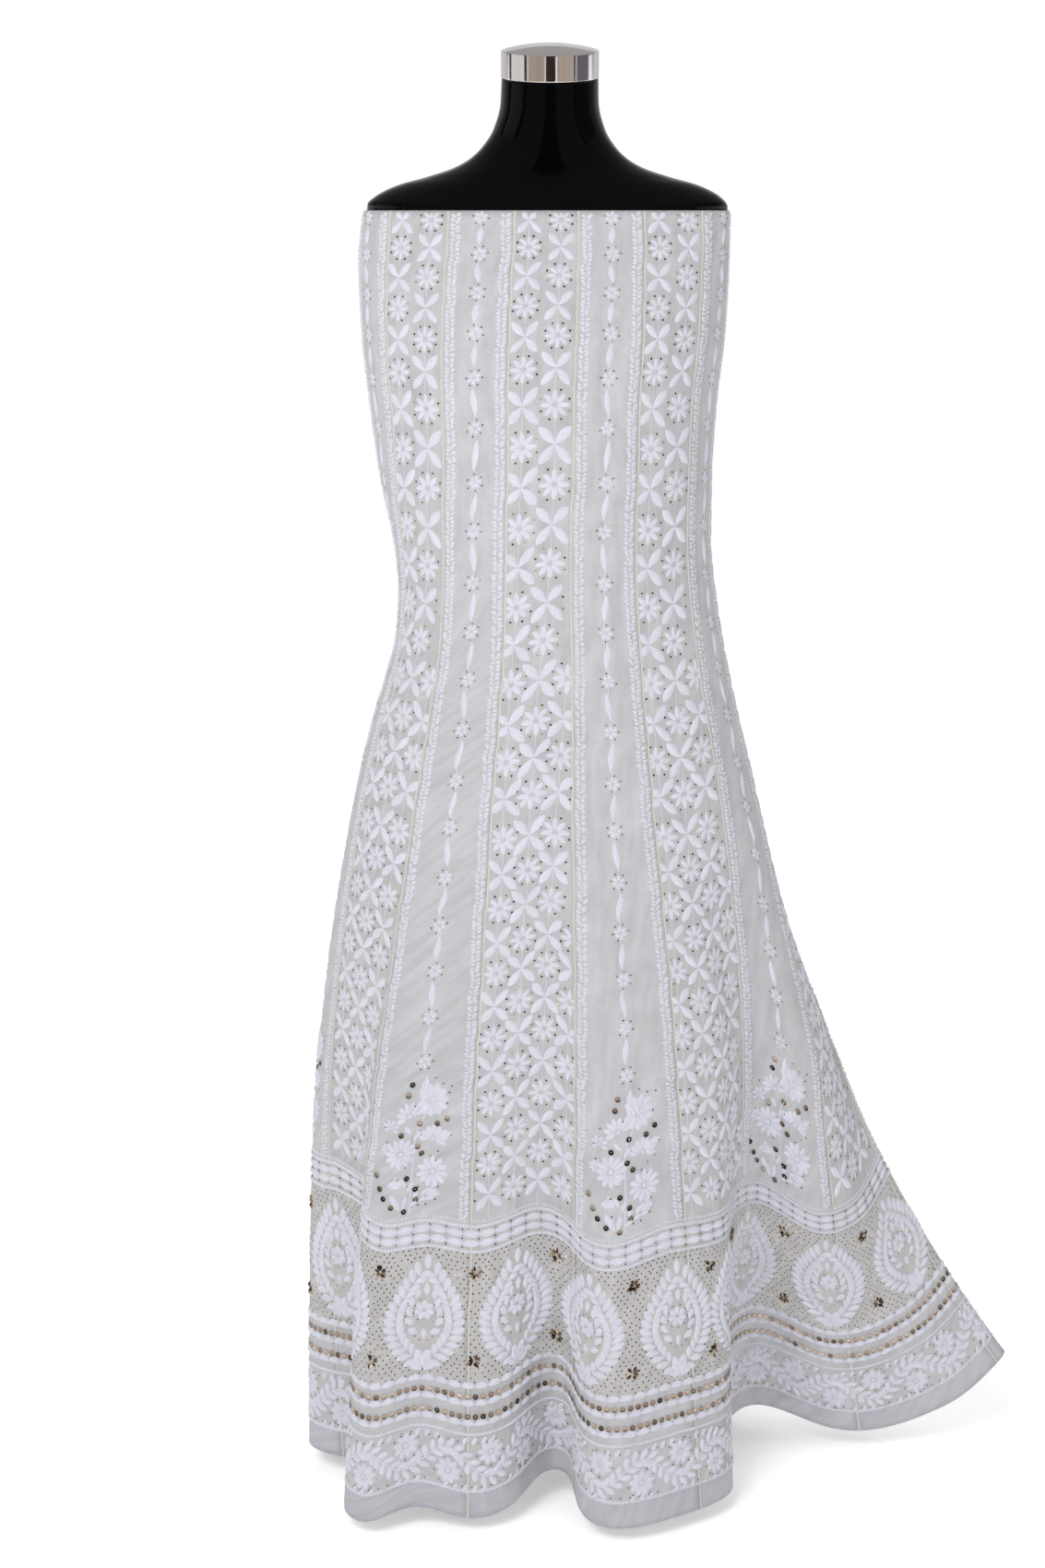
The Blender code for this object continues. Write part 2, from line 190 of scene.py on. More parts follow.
# Dress form: its neck and shoulders above the top edge, and how far inside the cloth it lies below
NECK_CENTRE_Y = 14 * MM
NECK_TOP_RISE = 134 * MM
NECK_SIDE = 4 * MM
FORM_BOTTOM_DROP = 620 * MM
FORM_COLUMNS = 168
BODY_LEVELS = 63
CAP_TILT = radians(9)
Shoulder = namedtuple("Shoulder", "rise half_width front back square")
SHOULDERS = [
    Shoulder(7, 187, 55, 108, 2.35),
    Shoulder(14, 180, 50, 101, 2.3),
    Shoulder(21, 168, 46, 94, 2.2),
    Shoulder(27, 153, 43, 88, 2.1),
    Shoulder(34, 127, 41, 81, 2.0),
    Shoulder(44, 97, 39, 74, 2.0),
    Shoulder(54, 80, 38, 69, 2.0),
    Shoulder(66, 68, 37, 66, 2.0),
    Shoulder(82, 58, 36, 64, 2.0),
    Shoulder(108, 51, 36, 64, 2.0),
    Shoulder(134, 50, 36, 64, 2.0),
]
Inset = namedtuple("Inset", "drop sides depth")
INSETS = [
    Inset(0, 2.2, 2.2),
    Inset(200, 2.2, 2.2),
    Inset(280, 22, 14),
    Inset(350, 42, 30),
    Inset(450, 24, 22),
    Inset(540, 26, 16),
    Inset(620, 42, 28),
]

# Cap and stand
SEAT_GAP = 0.3 * MM
CAP_RADIUS = 50.5 * MM
CAP_BAND = 27 * MM
CAP_DOME = 7 * MM
STAND_Y = 57 * MM
POLE_RADIUS = 14 * MM
FLANGE_RADIUS = 45 * MM
FLANGE_THICKNESS = 6 * MM
BASE_RADIUS = 113 * MM
BASE_THICKNESS = 14 * MM
TURNED_STEPS = 96

# Camera, as in the photograph: level with the top edge and tipped down
CAMERA_PLACE = (-24.4 * MM, -2.8, TOP_EDGE_Z)
CAMERA_PITCH = radians(12.27)
CAMERA_LENS = 60.54


# Shapes of the cloth, by the same formulas as the part


def ring_of(count, first=0.0):
    """Angles evenly round a circle, in radians from the first: 2 pi i / count."""
    return first + np.arange(count) * 2 * pi / count


def smooth_column(xs, ys, x):
    """Cubic through a table's column that never overshoots: tangents are harmonic means of the slopes."""
    xs, ys, x = (np.asarray(a, float) for a in (xs, ys, x))
    secants = np.diff(ys) / np.diff(xs)
    before, after = secants[:-1], secants[1:]
    same_way = before * after > 0
    total = np.where(same_way, before + after, 1.0)
    inner = np.where(same_way, 2 * before * after / total, 0.0)
    slopes = np.concatenate([secants[:1], inner, secants[-1:]])
    i = np.clip(np.searchsorted(xs, x, side="right") - 1, 0, len(xs) - 2)
    step = xs[i + 1] - xs[i]
    t = (x - xs[i]) / step
    start = (1 + 2 * t) * (1 - t) ** 2 * ys[i] + t * (1 - t) ** 2 * step * slopes[i]
    end = t * t * (3 - 2 * t) * ys[i + 1] - t * t * (1 - t) * step * slopes[i + 1]
    return start + end


def table_at(table, key, value):
    """One row of a table, read between its rows at value of its key column."""
    keys = [getattr(row, key) for row in table]
    read = {f: float(smooth_column(keys, [getattr(r, f) for r in table], value)) for f in table[0]._fields}
    return type(table[0])(**read)


def outline(section, count=960):
    """Closed superellipse with its own reach in each quarter, from the front towards +X.

    Each way it goes reach * |sin or cos|^(2 / square).
    """
    angle = np.linspace(0, 2 * pi, count, endpoint=False)
    across, ahead = (np.sign(v) * np.abs(v) ** (2 / section.square) for v in (np.sin(angle), np.cos(angle)))
    x = np.where(across > 0, section.right, section.left) * across
    front, back = section.front + section.side_y, section.back - section.side_y
    y = section.side_y - np.where(ahead > 0, front, back) * ahead
    return np.stack([x, y], axis=1) * MM


def walk(points, start, steps):
    """Points of a closed polyline at shares of its length, counted from its nearest point to start."""
    first = np.argmin(np.linalg.norm(points - start, axis=1))
    ring = np.roll(points, -first, axis=0)
    ring = np.vstack([ring, ring[:1]])
    length = np.concatenate([[0], np.cumsum(np.linalg.norm(np.diff(ring, axis=0), axis=1))])
    at = np.mod(steps, 1.0) * length[-1]
    return np.stack([np.interp(at, length, ring[:, c]) for c in range(2)], axis=1)


def closed_spline(at_knots, knots, period, at):
    """Periodic cubic spline through the knots, smooth to the second derivative."""
    n = len(knots)
    spans = np.diff(np.append(at_knots, at_knots[0] + period))
    system = np.zeros((n, n))
    index = np.arange(n)
    system[index, (index - 1) % n] = np.roll(spans, 1)
    system[index, index] = 2 * (np.roll(spans, 1) + spans)
    system[index, (index + 1) % n] = spans
    rise = (np.roll(knots, -1, axis=0) - knots) / spans[:, None]
    bend = np.linalg.solve(system, 6 * (rise - np.roll(rise, 1, axis=0)))
    along = np.mod(at - at_knots[0], period)
    ends = np.concatenate([[0], np.cumsum(spans)])
    i = np.clip(np.searchsorted(ends, along, side="right") - 1, 0, n - 1)
    h = spans[i][:, None]
    a = (ends[i + 1] - along)[:, None]
    b = (along - ends[i])[:, None]
    after = (i + 1) % n
    cubic = (bend[i] * a**3 + bend[after] * b**3) / (6 * h)
    linear = (knots[i] / h - bend[i] * h / 6) * a + (knots[after] / h - bend[after] * h / 6) * b
    return cubic + linear


def body_ring(drop, positions):
    """Unfolded outline at a drop, at kali positions spaced by arc length from the front centre."""
    section = table_at(SECTIONS, "drop", drop / MM)
    front = np.array([section.shift_x, -section.front]) * MM
    return walk(outline(section), front, positions / PANELS)


def cloth_row(drop, positions, hem, hem_body):
    """One row of the gown's face: the body outline plus the hem's folds times (share below the hip)^ease."""
    below = max(0.0, (drop - HIP_DROP) / (GOWN_DROP - HIP_DROP))
    grown = below ** hem[:, 3:4]
    plan = body_ring(drop, positions) + grown * (hem[:, :2] * MM - hem_body)
    return np.column_stack([plan, TOP_EDGE_Z - drop + hem[:, 2] * MM * below])


def lengths(points, axis):
    """Length run along an axis of a grid of points, from its first entry."""
    steps = np.linalg.norm(np.diff(points, axis=axis), axis=-1)
    run = np.cumsum(steps, axis=axis)
    return np.concatenate([np.zeros_like(np.take(run, [0], axis=axis)), run], axis=axis)


def even_columns(row, columns):
    """A row's points moved to even steps of its own length."""
    run = lengths(row, 0)
    at = np.linspace(0, run[-1], columns + 1)
    return np.stack([np.interp(at, run, row[:, c]) for c in range(3)], axis=1)


def face_normals(point):
    """Unit normals of the ring's face: the way up the cloth crossed with the way round, seams shared."""
    up = np.gradient(point[:, :-1], axis=0)
    round_it = np.roll(point[:, :-1], -1, axis=1) - np.roll(point[:, :-1], 1, axis=1)
    normal = np.cross(round_it, up)
    normal /= np.linalg.norm(normal, axis=2, keepdims=True)
    return np.concatenate([normal, normal[:, :1]], axis=1)


def folded_face():
    """The gown's face from the hem up, as rows x ring columns, before its small creases."""
    fine = 8
    positions = -0.5 + np.arange(RING * fine + 1) / (COLUMNS * fine)
    knots = np.array([(f.x, f.y, f.lift, f.ease) for f in FOLDS], float)
    hem = closed_spline(np.array([f.kali for f in FOLDS]), knots, PANELS, positions)
    hem_body = body_ring(GOWN_DROP, positions)
    rows = []
    for drop in np.linspace(GOWN_DROP, 0, ROWS + 1):
        row = cloth_row(drop, positions, hem, hem_body)
        span = COLUMNS * fine
        kalis = [even_columns(row[k * span : (k + 1) * span + 1], COLUMNS)[:-1] for k in range(PANELS)]
        rows.append(np.concatenate(kalis + [kalis[0][:1]]))
    return np.array(rows)


def crease_rise(point):
    """Height of all soft creases: each a long bell across its line, fading by a raised cosine to its ends."""
    height = lengths(point, 0)
    along = lengths(point, 1)
    around = along[:, -1:]
    rise = np.zeros(height.shape)
    for crease in CREASES:
        column = int(round(((crease.kali + 0.5) % PANELS) * COLUMNS))
        x = along - along[:, column : column + 1]
        x = (x + around / 2) % around - around / 2
        y = height - crease.height * MM
        lean = radians(crease.lean)
        run = (x * sin(lean) + y * cos(lean)) / (crease.half_long * MM)
        side = (x * cos(lean) - y * sin(lean)) / (crease.half_wide * MM)
        fade = np.where(np.abs(run) < 1, np.cos(run * pi / 2) ** 2, 0)
        rise += crease.rise * MM * np.exp(-(side**2)) * fade
    return rise


ROW_STEP = 4 * MM


class Face:
    """The gown's face as grids in metres, and the reading of points on it, by measures in mm."""

    def __init__(self):
        flat = folded_face()
        point = flat + face_normals(flat) * crease_rise(flat)[..., None]
        self.point = point
        self.normal = face_normals(point)
        self.height = self.pattern_height(lengths(point, 0))
        self.along = lengths(point, 1)
        steps = np.arange(0, self.height.max(), ROW_STEP)
        rows = np.arange(ROWS + 1)
        self.row_of = np.stack([np.interp(steps, self.height[:, c], rows) for c in range(RING + 1)], axis=1)

    def pattern_height(self, run):
        """Each column's run evened to the gown's drop, the border's part then stretched by its reach."""
        run = run * GOWN_DROP / run[-1:]
        kalis, shares = zip(*REACHES)
        first = kalis[0]
        shares = smooth_column(kalis, shares, (np.arange(RING + 1) / COLUMNS - 0.5 - first) % PANELS + first)
        marks = np.array([0, BORDER_TOP, PLAIN_FROM, GOWN_LENGTH]) * MM
        for column, share in enumerate(shares):
            run[:, column] = np.interp(run[:, column], marks * (1, share, 1, 1), marks)
        return run

    def read(self, grid, row, column):
        """Bilinear value of a grid at fractional rows and columns."""
        r = np.clip(np.floor(row).astype(int), 0, grid.shape[0] - 2)
        c = np.clip(np.floor(column).astype(int), 0, RING - 1)
        fr, fc = row - r, column - c
        if grid.ndim == 3:
            fr, fc = fr[..., None], fc[..., None]
        low = grid[r, c] * (1 - fc) + grid[r, c + 1] * fc
        high = grid[r + 1, c] * (1 - fc) + grid[r + 1, c + 1] * fc
        return low * (1 - fr) + high * fr

    def row_at(self, height, column):
        """Fractional grid row at a pattern height in metres and a ring column."""
        return np.clip(self.read(self.row_of, height / ROW_STEP, column), 0, ROWS)

    def length_round(self, row, column):
        """Length round the row up to a column that may have passed the ring's start."""
        laps = np.floor(column / RING)
        full = self.read(self.along, row, column * 0 + RING)
        return self.read(self.along, row, column - laps * RING) + laps * full

    def at(self, kali, height, across=0.0, up=0.0, out=0.0):
        """Points reached from a kali position and height by going across and up the cloth, then out of it."""
        values = (np.asarray(v, float) for v in (kali, height, across, up, out))
        kali, height, across, up, out = np.broadcast_arrays(*values)
        column = start = (kali + 0.5) % PANELS * COLUMNS
        level = (height + up) * MM
        for _ in range(3):
            row = self.row_at(level, column % RING)
            wide = self.length_round(row, column + 0.5) - self.length_round(row, column - 0.5)
            gone = self.length_round(row, column) - self.length_round(row, start)
            column = column + (across * MM - gone) / wide
        wrapped = column % RING
        row = self.row_at(level, wrapped)
        return self.read(self.point, row, wrapped) + self.read(self.normal, row, wrapped) * out[..., None] * MM

    def round_run(self, height):
        """Lengths round the gown at one height, at each ring column."""
        columns = np.arange(RING + 1.0)
        ring = self.read(self.point, self.row_at(np.full(RING + 1, height * MM), columns), columns)
        return lengths(ring, 0) / MM

    def spaced(self, height, pitch, phase=0.0, count=None):
        """Kali positions evenly spaced round the gown at one height, near the wanted pitch."""
        run = self.round_run(height)
        count = count or int(round(run[-1] / pitch))
        at = (np.arange(count) + phase) / count * run[-1]
        return np.interp(at, run, np.arange(RING + 1.0)) / COLUMNS - 0.5

    def kali_width(self, panel, height):
        """Flat width of one panel at heights above the hem."""
        left = np.full(height.shape, float(panel * COLUMNS))
        row = self.row_at(height * MM, left + COLUMNS / 2)
        return (self.length_round(row, left + COLUMNS) - self.length_round(row, left)) / MM


FACE = Face()


# Meshes


def add_object(name, data):
    """Object in the scene that holds a mesh, a light or a camera."""
    made = bpy.data.objects.new(name, data)
    bpy.context.scene.collection.objects.link(made)
    return made


def grid_quads(rows, columns, closed=False):
    """Quads of a grid of points, closed round its columns or not: first axis crossed with second faces out."""
    r = np.arange(rows - 1)[:, None]
    c = np.arange(columns if closed else columns - 1)[None, :]
    beside = (c + 1) % columns
    corners = [r * columns + c, (r + 1) * columns + c, (r + 1) * columns + beside, r * columns + beside]
    return np.stack([np.broadcast_to(x, (r.size, c.size)).ravel() for x in corners], axis=1)


def capped_faces(rows, columns):
    """Faces of closed rings stacked upwards, each end fanned to a pole: the two poles follow the rings."""
    index = np.arange(columns)
    beside = (index + 1) % columns
    pole = rows * columns
    last = pole - columns
    low = np.stack([beside, index, np.full(columns, pole)], axis=1)
    high = np.stack([last + index, last + beside, np.full(columns, pole + 1)], axis=1)
    return [grid_quads(rows, columns, closed=True)[:, ::-1], low, high]


def add_piece(name, points, faces, material, uv=None, lot=None):
    """A finished mesh from arrays: points, a list of face index arrays, and values kept as UV maps."""
    mesh = bpy.data.meshes.new(name)
    points = np.asarray(points, np.float32).reshape(-1, 3)
    corners = np.concatenate([f.ravel() for f in faces]).astype(np.int32)
    sizes = np.concatenate([np.full(len(f), f.shape[1]) for f in faces]).astype(np.int32)
    mesh.vertices.add(len(points))
    mesh.vertices.foreach_set("co", points.ravel())
    mesh.loops.add(len(corners))
    mesh.loops.foreach_set("vertex_index", corners)
    mesh.polygons.add(len(sizes))
    mesh.polygons.foreach_set("loop_start", (np.cumsum(sizes) - sizes).astype(np.int32))
    mesh.polygons.foreach_set("loop_total", sizes)
    mesh.polygons.foreach_set("use_smooth", np.ones(len(sizes), bool))
    for label, values in (("stitch", uv), ("lot", lot)):
        if values is not None:
            layer = mesh.uv_layers.new(name=label)
            layer.data.foreach_set("uv", np.asarray(values, np.float32)[corners].ravel())
    mesh.update(calc_edges=True)
    mesh.materials.append(material)
    piece = add_object(name, mesh)
    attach(piece, "root")
    return piece


def add_stage_plane(name, corners, material):
    """Flat four-cornered piece of the studio."""
    mesh = bpy.data.meshes.new(name)
    mesh.from_pydata(corners, [], [(0, 1, 2, 3)])
    mesh.materials.append(material)
    plane = add_object(name, mesh)
    return plane


Shape = namedtuple("Shape", "across along rise quads triangles")


def petal_shape(rows, columns, peak, blunt=0.8, bow=0.0, tip=0.1, climb=0.0):
    """Padded petal of unit length, half wide sin(pi t^q)^blunt, widest at peak, domed, climbing to its tip."""
    t = np.linspace(0, 1, rows + 1)[:, None]
    s = np.linspace(-1, 1, columns + 1)[None, :]
    width = np.maximum(np.sin(pi * t ** (np.log(0.5) / np.log(peak))) ** blunt, tip)
    ends = np.clip(np.sin(pi * t) * 2.2, 0, 1)
    rise = ends * np.sqrt(np.clip(1 - s**2, 0, 1)) * (1 - climb + climb * t)
    across = width * s + bow * (1 - (2 * t - 1) ** 2)
    along = t + 0 * s
    quads = grid_quads(rows + 1, columns + 1)[:, ::-1]
    return Shape(across.ravel(), along.ravel(), rise.ravel(), quads, None)


def dome_shape(steps):
    """Small bead: a rim circle of unit radius and one raised centre point."""
    angle = ring_of(steps)
    across, along = np.append(np.cos(angle), 0), np.append(np.sin(angle), 0)
    rise = np.append(np.zeros(steps), 1)
    index = np.arange(steps)
    fan = np.stack([index, (index + 1) % steps, np.full(steps, steps)], axis=1)
    return Shape(across, along, rise, None, fan)


def sequin_shape(steps):
    """Cupped sequin: rings of unit, 0.72 and 0.24 radius, the rim high and the hole low."""
    angle = ring_of(steps)
    radius = np.array([1.0, 0.72, 0.24])[:, None]
    rise = np.broadcast_to(np.array([1.0, 0.55, 0.3])[:, None], (3, steps))
    across, along = radius * np.cos(angle), radius * np.sin(angle)
    return Shape(across.ravel(), along.ravel(), rise.ravel(), grid_quads(3, steps, closed=True)[:, ::-1], None)


LEAF = petal_shape(4, 4, 0.5)
SATIN = petal_shape(5, 4, 0.55, blunt=0.7, tip=0.12, climb=0.55)
SPADE = petal_shape(5, 4, 0.56, blunt=0.75, tip=0.14)
BROAD = petal_shape(4, 4, 0.58, blunt=0.6, tip=0.2)
PLUMP = petal_shape(4, 2, 0.5, blunt=0.6, tip=0.2)
KNOT = petal_shape(3, 2, 0.5, blunt=0.6, tip=0.25)
SCALLOP = petal_shape(6, 3, 0.5, blunt=0.55, bow=-0.35)
EYE = petal_shape(6, 3, 0.5, blunt=0.6)
BEAD = dome_shape(6)
SEQUIN = sequin_shape(9)
SINK = 0.25
SEQUIN_LIFT = 0.35


class Stitching:
    """Gathers laid shapes into the arrays of one joined mesh. What it is given is in mm."""

    def __init__(self, name, material, slot="plain_cloth"):
        self.name, self.material, self.slot = name, material, slot
        self.points, self.uv, self.lots, self.faces, self.count = [], [], [], [], 0
        self.luck = np.random.default_rng(len(name) * 31)

    def lay(self, shape, kali, height, x=0.0, y=0.0, turn=0.0, long=1.0, wide=1.0, rise=1.0, lift=-SINK):
        """Lays a shape many times, based at (x, y) from the kali position and height, turned clockwise."""
        values = [np.atleast_1d(np.asarray(v, float)) for v in (kali, height, x, y, turn, long, wide, rise)]
        kali, height, x, y, turn, long, wide, rise = (v[:, None] for v in np.broadcast_arrays(*values))
        across = shape.across[None] * wide / 2
        along = shape.along[None] * long
        dx = x + across * np.cos(turn) + along * np.sin(turn)
        dy = y - across * np.sin(turn) + along * np.cos(turn)
        laid = FACE.at(kali, height, dx, dy, shape.rise[None] * rise + lift)
        self.keep(laid, np.stack([across, along], axis=2) * MM, shape)

    def petals(self, shape, kali, height, turn, start, long, wide, rise, lift=-SINK):
        """Lays shapes pointing outwards, their bases start away from the middle."""
        self.lay(shape, kali, height, np.sin(turn) * start, np.cos(turn) * start, turn, long, wide, rise, lift)

    def discs(self, shape, kali, height, x, y, radius, rise, lift=-SINK):
        """Lays round shapes by their radius."""
        self.lay(shape, kali, height, x, y, 0.0, radius, 2 * radius, rise, lift)

    def keep(self, laid, uv, shape):
        """Adds copies of a shape, a lot number for each, their faces counted on from those before."""
        copies, size = laid.shape[:2]
        starts = (self.count + np.arange(copies) * size)[:, None, None]
        for faces in (shape.quads, shape.triangles):
            if faces is not None:
                self.faces.append((starts + faces[None]).reshape(-1, faces.shape[1]))
        self.points.append(laid.reshape(-1, 3))
        self.uv.append(uv.reshape(-1, 2))
        self.lots.append(np.repeat(self.luck.random((copies, 2)), size, axis=0))
        self.count += copies * size

    def line(self, kali, height, x, y, wide, rise, profile=5):
        """Half round cord laid through points given as kali positions, heights and flat offsets."""
        kali, height, x, y = (np.asarray(v, float) for v in np.broadcast_arrays(kali, height, x, y))
        middle = FACE.at(kali, height, x, y)
        run = lengths(middle, 0)
        right = FACE.at(kali, height, x + 1, y) - FACE.at(kali, height, x - 1, y)
        above = FACE.at(kali, height, x, y + 1) - FACE.at(kali, height, x, y - 1)
        way = np.gradient(middle, axis=0)
        way_x, way_y = ((way * side).sum(1) / np.linalg.norm(side, axis=1) for side in (right, above))
        size = np.hypot(way_x, way_y)
        side_x, side_y = way_y / size, -way_x / size
        s = np.linspace(-1, 1, profile)[None, :]
        dx = x[:, None] + side_x[:, None] * s * wide / 2
        dy = y[:, None] + side_y[:, None] * s * wide / 2
        out = rise * np.sqrt(np.clip(1 - s**2, 0, 1)) - SINK
        laid = FACE.at(kali[:, None], height[:, None], dx, dy, out + 0 * dx)
        uv = np.stack(np.broadcast_arrays(s * wide / 2 * MM, run[:, None]), axis=2)
        quads = grid_quads(len(kali), profile)[:, ::-1]
        self.keep(laid.reshape(1, -1, 3), uv.reshape(1, -1, 2), Shape(None, None, None, quads, None))

    def build(self):
        """One mesh of all that was laid."""
        points, uv, lots = (np.concatenate(part) for part in (self.points, self.uv, self.lots))
        return add_piece(self.name, points, self.faces, self.material, uv, lots)


# Materials


def feed(tree, made, inputs):
    """Sets a node's sockets by value, or links them from another node's socket."""
    for key, value in inputs.items():
        if isinstance(value, bpy.types.NodeSocket):
            tree.links.new(value, made.inputs[key])
        else:
            made.inputs[key].default_value = value


def node(tree, kind, inputs=None, **settings):
    """One shader node, its properties set and its sockets fed."""
    made = tree.nodes.new("ShaderNode" + kind)
    for key, value in settings.items():
        setattr(made, key, value)
    feed(tree, made, inputs or {})
    return made


def maths(tree, operation, *values):
    """One math node: the operation on its values, each a number or a socket."""
    return node(tree, "Math", dict(enumerate(values)), operation=operation).outputs[0]


def scaled(tree, value, factor, offset=0.0):
    """value * factor + offset."""
    return maths(tree, "MULTIPLY_ADD", value, factor, offset)


def noise(tree, place, scale, detail=2.0, **more):
    """Value of layered noise, from 0 to 1, at a place."""
    return node(tree, "TexNoise", {"Vector": place, "Scale": scale, "Detail": detail, **more}).outputs[0]


def stretched(tree, place, scale):
    """A place multiplied by a scale on each axis."""
    return node(tree, "Mapping", {"Vector": place, "Scale": scale}).outputs[0]


def uv_place(tree, label="stitch"):
    """The piece's own UV: metres across and along, or its lot number."""
    return node(tree, "UVMap", uv_map=label).outputs[0]


def object_place(tree):
    """The point's place in its object's frame, in metres."""
    return node(tree, "TexCoord").outputs["Object"]


def split(tree, vector):
    """Sockets of a vector's x, y and z."""
    return node(tree, "SeparateXYZ", {0: vector}).outputs


def length_of(tree, vector):
    """Length of a vector: the root of the sum of its squares."""
    return node(tree, "VectorMath", {0: vector}, operation="LENGTH").outputs["Value"]


def blend_colour(tree, share, a, b, way="MIX"):
    """Mix of two colours, each a socket or three numbers."""
    a, b = (c if isinstance(c, bpy.types.NodeSocket) else (*c, 1) for c in (a, b))
    return node(tree, "Mix", {0: share, 6: a, 7: b}, data_type="RGBA", blend_type=way).outputs[2]


def shade(tree, colour, tone):
    """A colour darkened or lit by a tone value."""
    grey = node(tree, "CombineColor", {0: tone, 1: tone, 2: tone}).outputs[0]
    return blend_colour(tree, 1.0, colour, grey, "MULTIPLY")


def bump(tree, height, distance, strength):
    """Normal tilted by the slope of height times distance."""
    return node(tree, "Bump", {"Height": height, "Distance": distance, "Strength": strength}).outputs[0]


def group(name, inputs, outputs):
    """Empty node group with float sockets; returns its tree, its input sockets and its output node."""
    tree = bpy.data.node_groups.new(name, "ShaderNodeTree")
    for label, start in inputs.items():
        tree.interface.new_socket(label, in_out="INPUT", socket_type="NodeSocketFloat").default_value = start
    for label in outputs:
        tree.interface.new_socket(label, in_out="OUTPUT", socket_type="NodeSocketFloat")
    return tree, tree.nodes.new("NodeGroupInput").outputs, tree.nodes.new("NodeGroupOutput")


def woven_group():
    """Plain weave by the cloth's UV in metres.

    Height: the product of a warp and a weft sine, bent by slubs, plus noise stretched into lying wrinkles.
    Tone: 0.58 + 0.84 mottle, plus painted highlights: a little lighter where threads cross and along thin bent
    creases.
    """
    tree, _, out = group("plain_weave", {}, ["Tone", "Height"])
    uv = uv_place(tree)
    slub = noise(tree, uv, 260.0, 3.0)
    bend = scaled(tree, slub, 5.0)
    turns = THREADS_PER_METRE * 2 * pi
    warp, weft = (maths(tree, "SINE", scaled(tree, way, turns, bend)) for way in split(tree, uv)[:2])
    weave = maths(tree, "MULTIPLY", warp, weft)
    streak = noise(tree, stretched(tree, uv, (90.0, 14.0, 1.0)), 1.0, 4.0)
    cloud = noise(tree, uv, 30.0, 6.0, Roughness=0.7)
    mottle = scaled(tree, maths(tree, "ADD", streak, cloud), 0.5)
    # Thin bent crease lines, painted lighter below as highlights
    bent = noise(tree, uv, 16.0, 2.0, Distortion=2.5)
    off_line = maths(tree, "ABSOLUTE", maths(tree, "SUBTRACT", bent, 0.5))
    line = maths(tree, "MAXIMUM", scaled(tree, off_line, -45.0, 1.0), 0.0)
    # Painted highlight where the threads cross (the weave term), then painted highlights along the crease lines
    tone = scaled(tree, mottle, 0.84, scaled(tree, weave, 0.010, 0.58))
    tone = scaled(tree, maths(tree, "MULTIPLY", line, cloud), 0.06, tone)
    wrinkle = noise(tree, stretched(tree, uv, (22.0, 105.0, 1.0)), 1.0, 3.0, Distortion=0.8)
    thread = scaled(tree, weave, 0.5, scaled(tree, slub, 0.6))
    feed(tree, out, {0: tone, 1: scaled(tree, wrinkle, 5.5, thread)})
    return tree


def border_group():
    """Masks by the height up the cloth: 1 in the plain hem strip, and 1 in the dotted net."""
    tree, _, out = group("border_strips", {}, ["Hem strip", "Net"])
    height = split(tree, uv_place(tree))[1]
    above = maths(tree, "GREATER_THAN", height, NET_BOTTOM * MM)
    below = maths(tree, "LESS_THAN", height, NET_TOP * MM)
    hem = maths(tree, "LESS_THAN", height, HEM_STRIP_TOP * MM)
    feed(tree, out, {0: hem, 1: maths(tree, "MULTIPLY", above, below)})
    return tree


def thread_group():
    """Satin stitches by the shape's own UV in metres.

    Ridge: a sine of the way along plus slant times the way off the middle, bent by loose noise.
    Tone: 0.955 + 0.04 ridge, a painted sheen on the stitch crests and painted shade in the grooves between
    them, with noise and the shape's lot number; height: ridge + 2 noise.
    """
    tree, given, out = group("satin_stitch", {"Stitches per metre": 1500.0, "Slant": 0.6}, ["Tone", "Height"])
    uv = uv_place(tree)
    across, along = split(tree, uv)[:2]
    slid = scaled(tree, maths(tree, "ABSOLUTE", across), given[1], along)
    loose = noise(tree, uv, 420.0, 3.0, Roughness=0.65)
    phase = maths(tree, "MULTIPLY", slid, scaled(tree, given[0], 2 * pi))
    ridge = maths(tree, "SINE", scaled(tree, loose, 4.0, phase))
    lot = split(tree, uv_place(tree, "lot"))[0]
    fuzz = scaled(tree, lot, 0.06, scaled(tree, loose, 0.34, -0.17))
    # Painted sheen and groove shade: the tone rises and falls with each stitch ridge
    tone = maths(tree, "ADD", scaled(tree, ridge, 0.04, 0.955), fuzz)
    feed(tree, out, {0: tone, 1: scaled(tree, loose, 2.0, ridge)})
    return tree


def foil_group():
    """Metal foil: the shape's lot number, a painted shade for the cupped rim that falls to 0.42 past the rim
    radius, and fine wear.
    """
    tree, given, out = group("metal_foil", {"Rim radius": 1.0}, ["Lot", "Painted rim shade", "Wear"])
    lot = split(tree, uv_place(tree, "lot"))[0]
    reach = length_of(tree, uv_place(tree))
    full = scaled(tree, given[0], 1.4)
    # Painted shade on the cupped rim: darker past the rim radius
    rim = node(tree, "MapRange", {0: reach, 1: given[0], 2: full, 3: 1.0, 4: 0.42}).outputs[0]
    feed(tree, out, {0: lot, 1: rim, 2: noise(tree, object_place(tree), 900.0)})
    return tree


def grain_group():
    """Soft cloudy tone from 0.6 to 1.4 by the object's own place, for the cards."""
    tree, _, out = group("card_grain", {}, ["Tone"])
    feed(tree, out, {0: scaled(tree, noise(tree, object_place(tree), 4.0, 3.0), 0.8, 0.6)})
    return tree


def new_material(name):
    """Empty material, its node tree and its shader."""
    material = bpy.data.materials.new(name)
    material.use_nodes = True
    return material, material.node_tree, material.node_tree.nodes["Principled BSDF"]


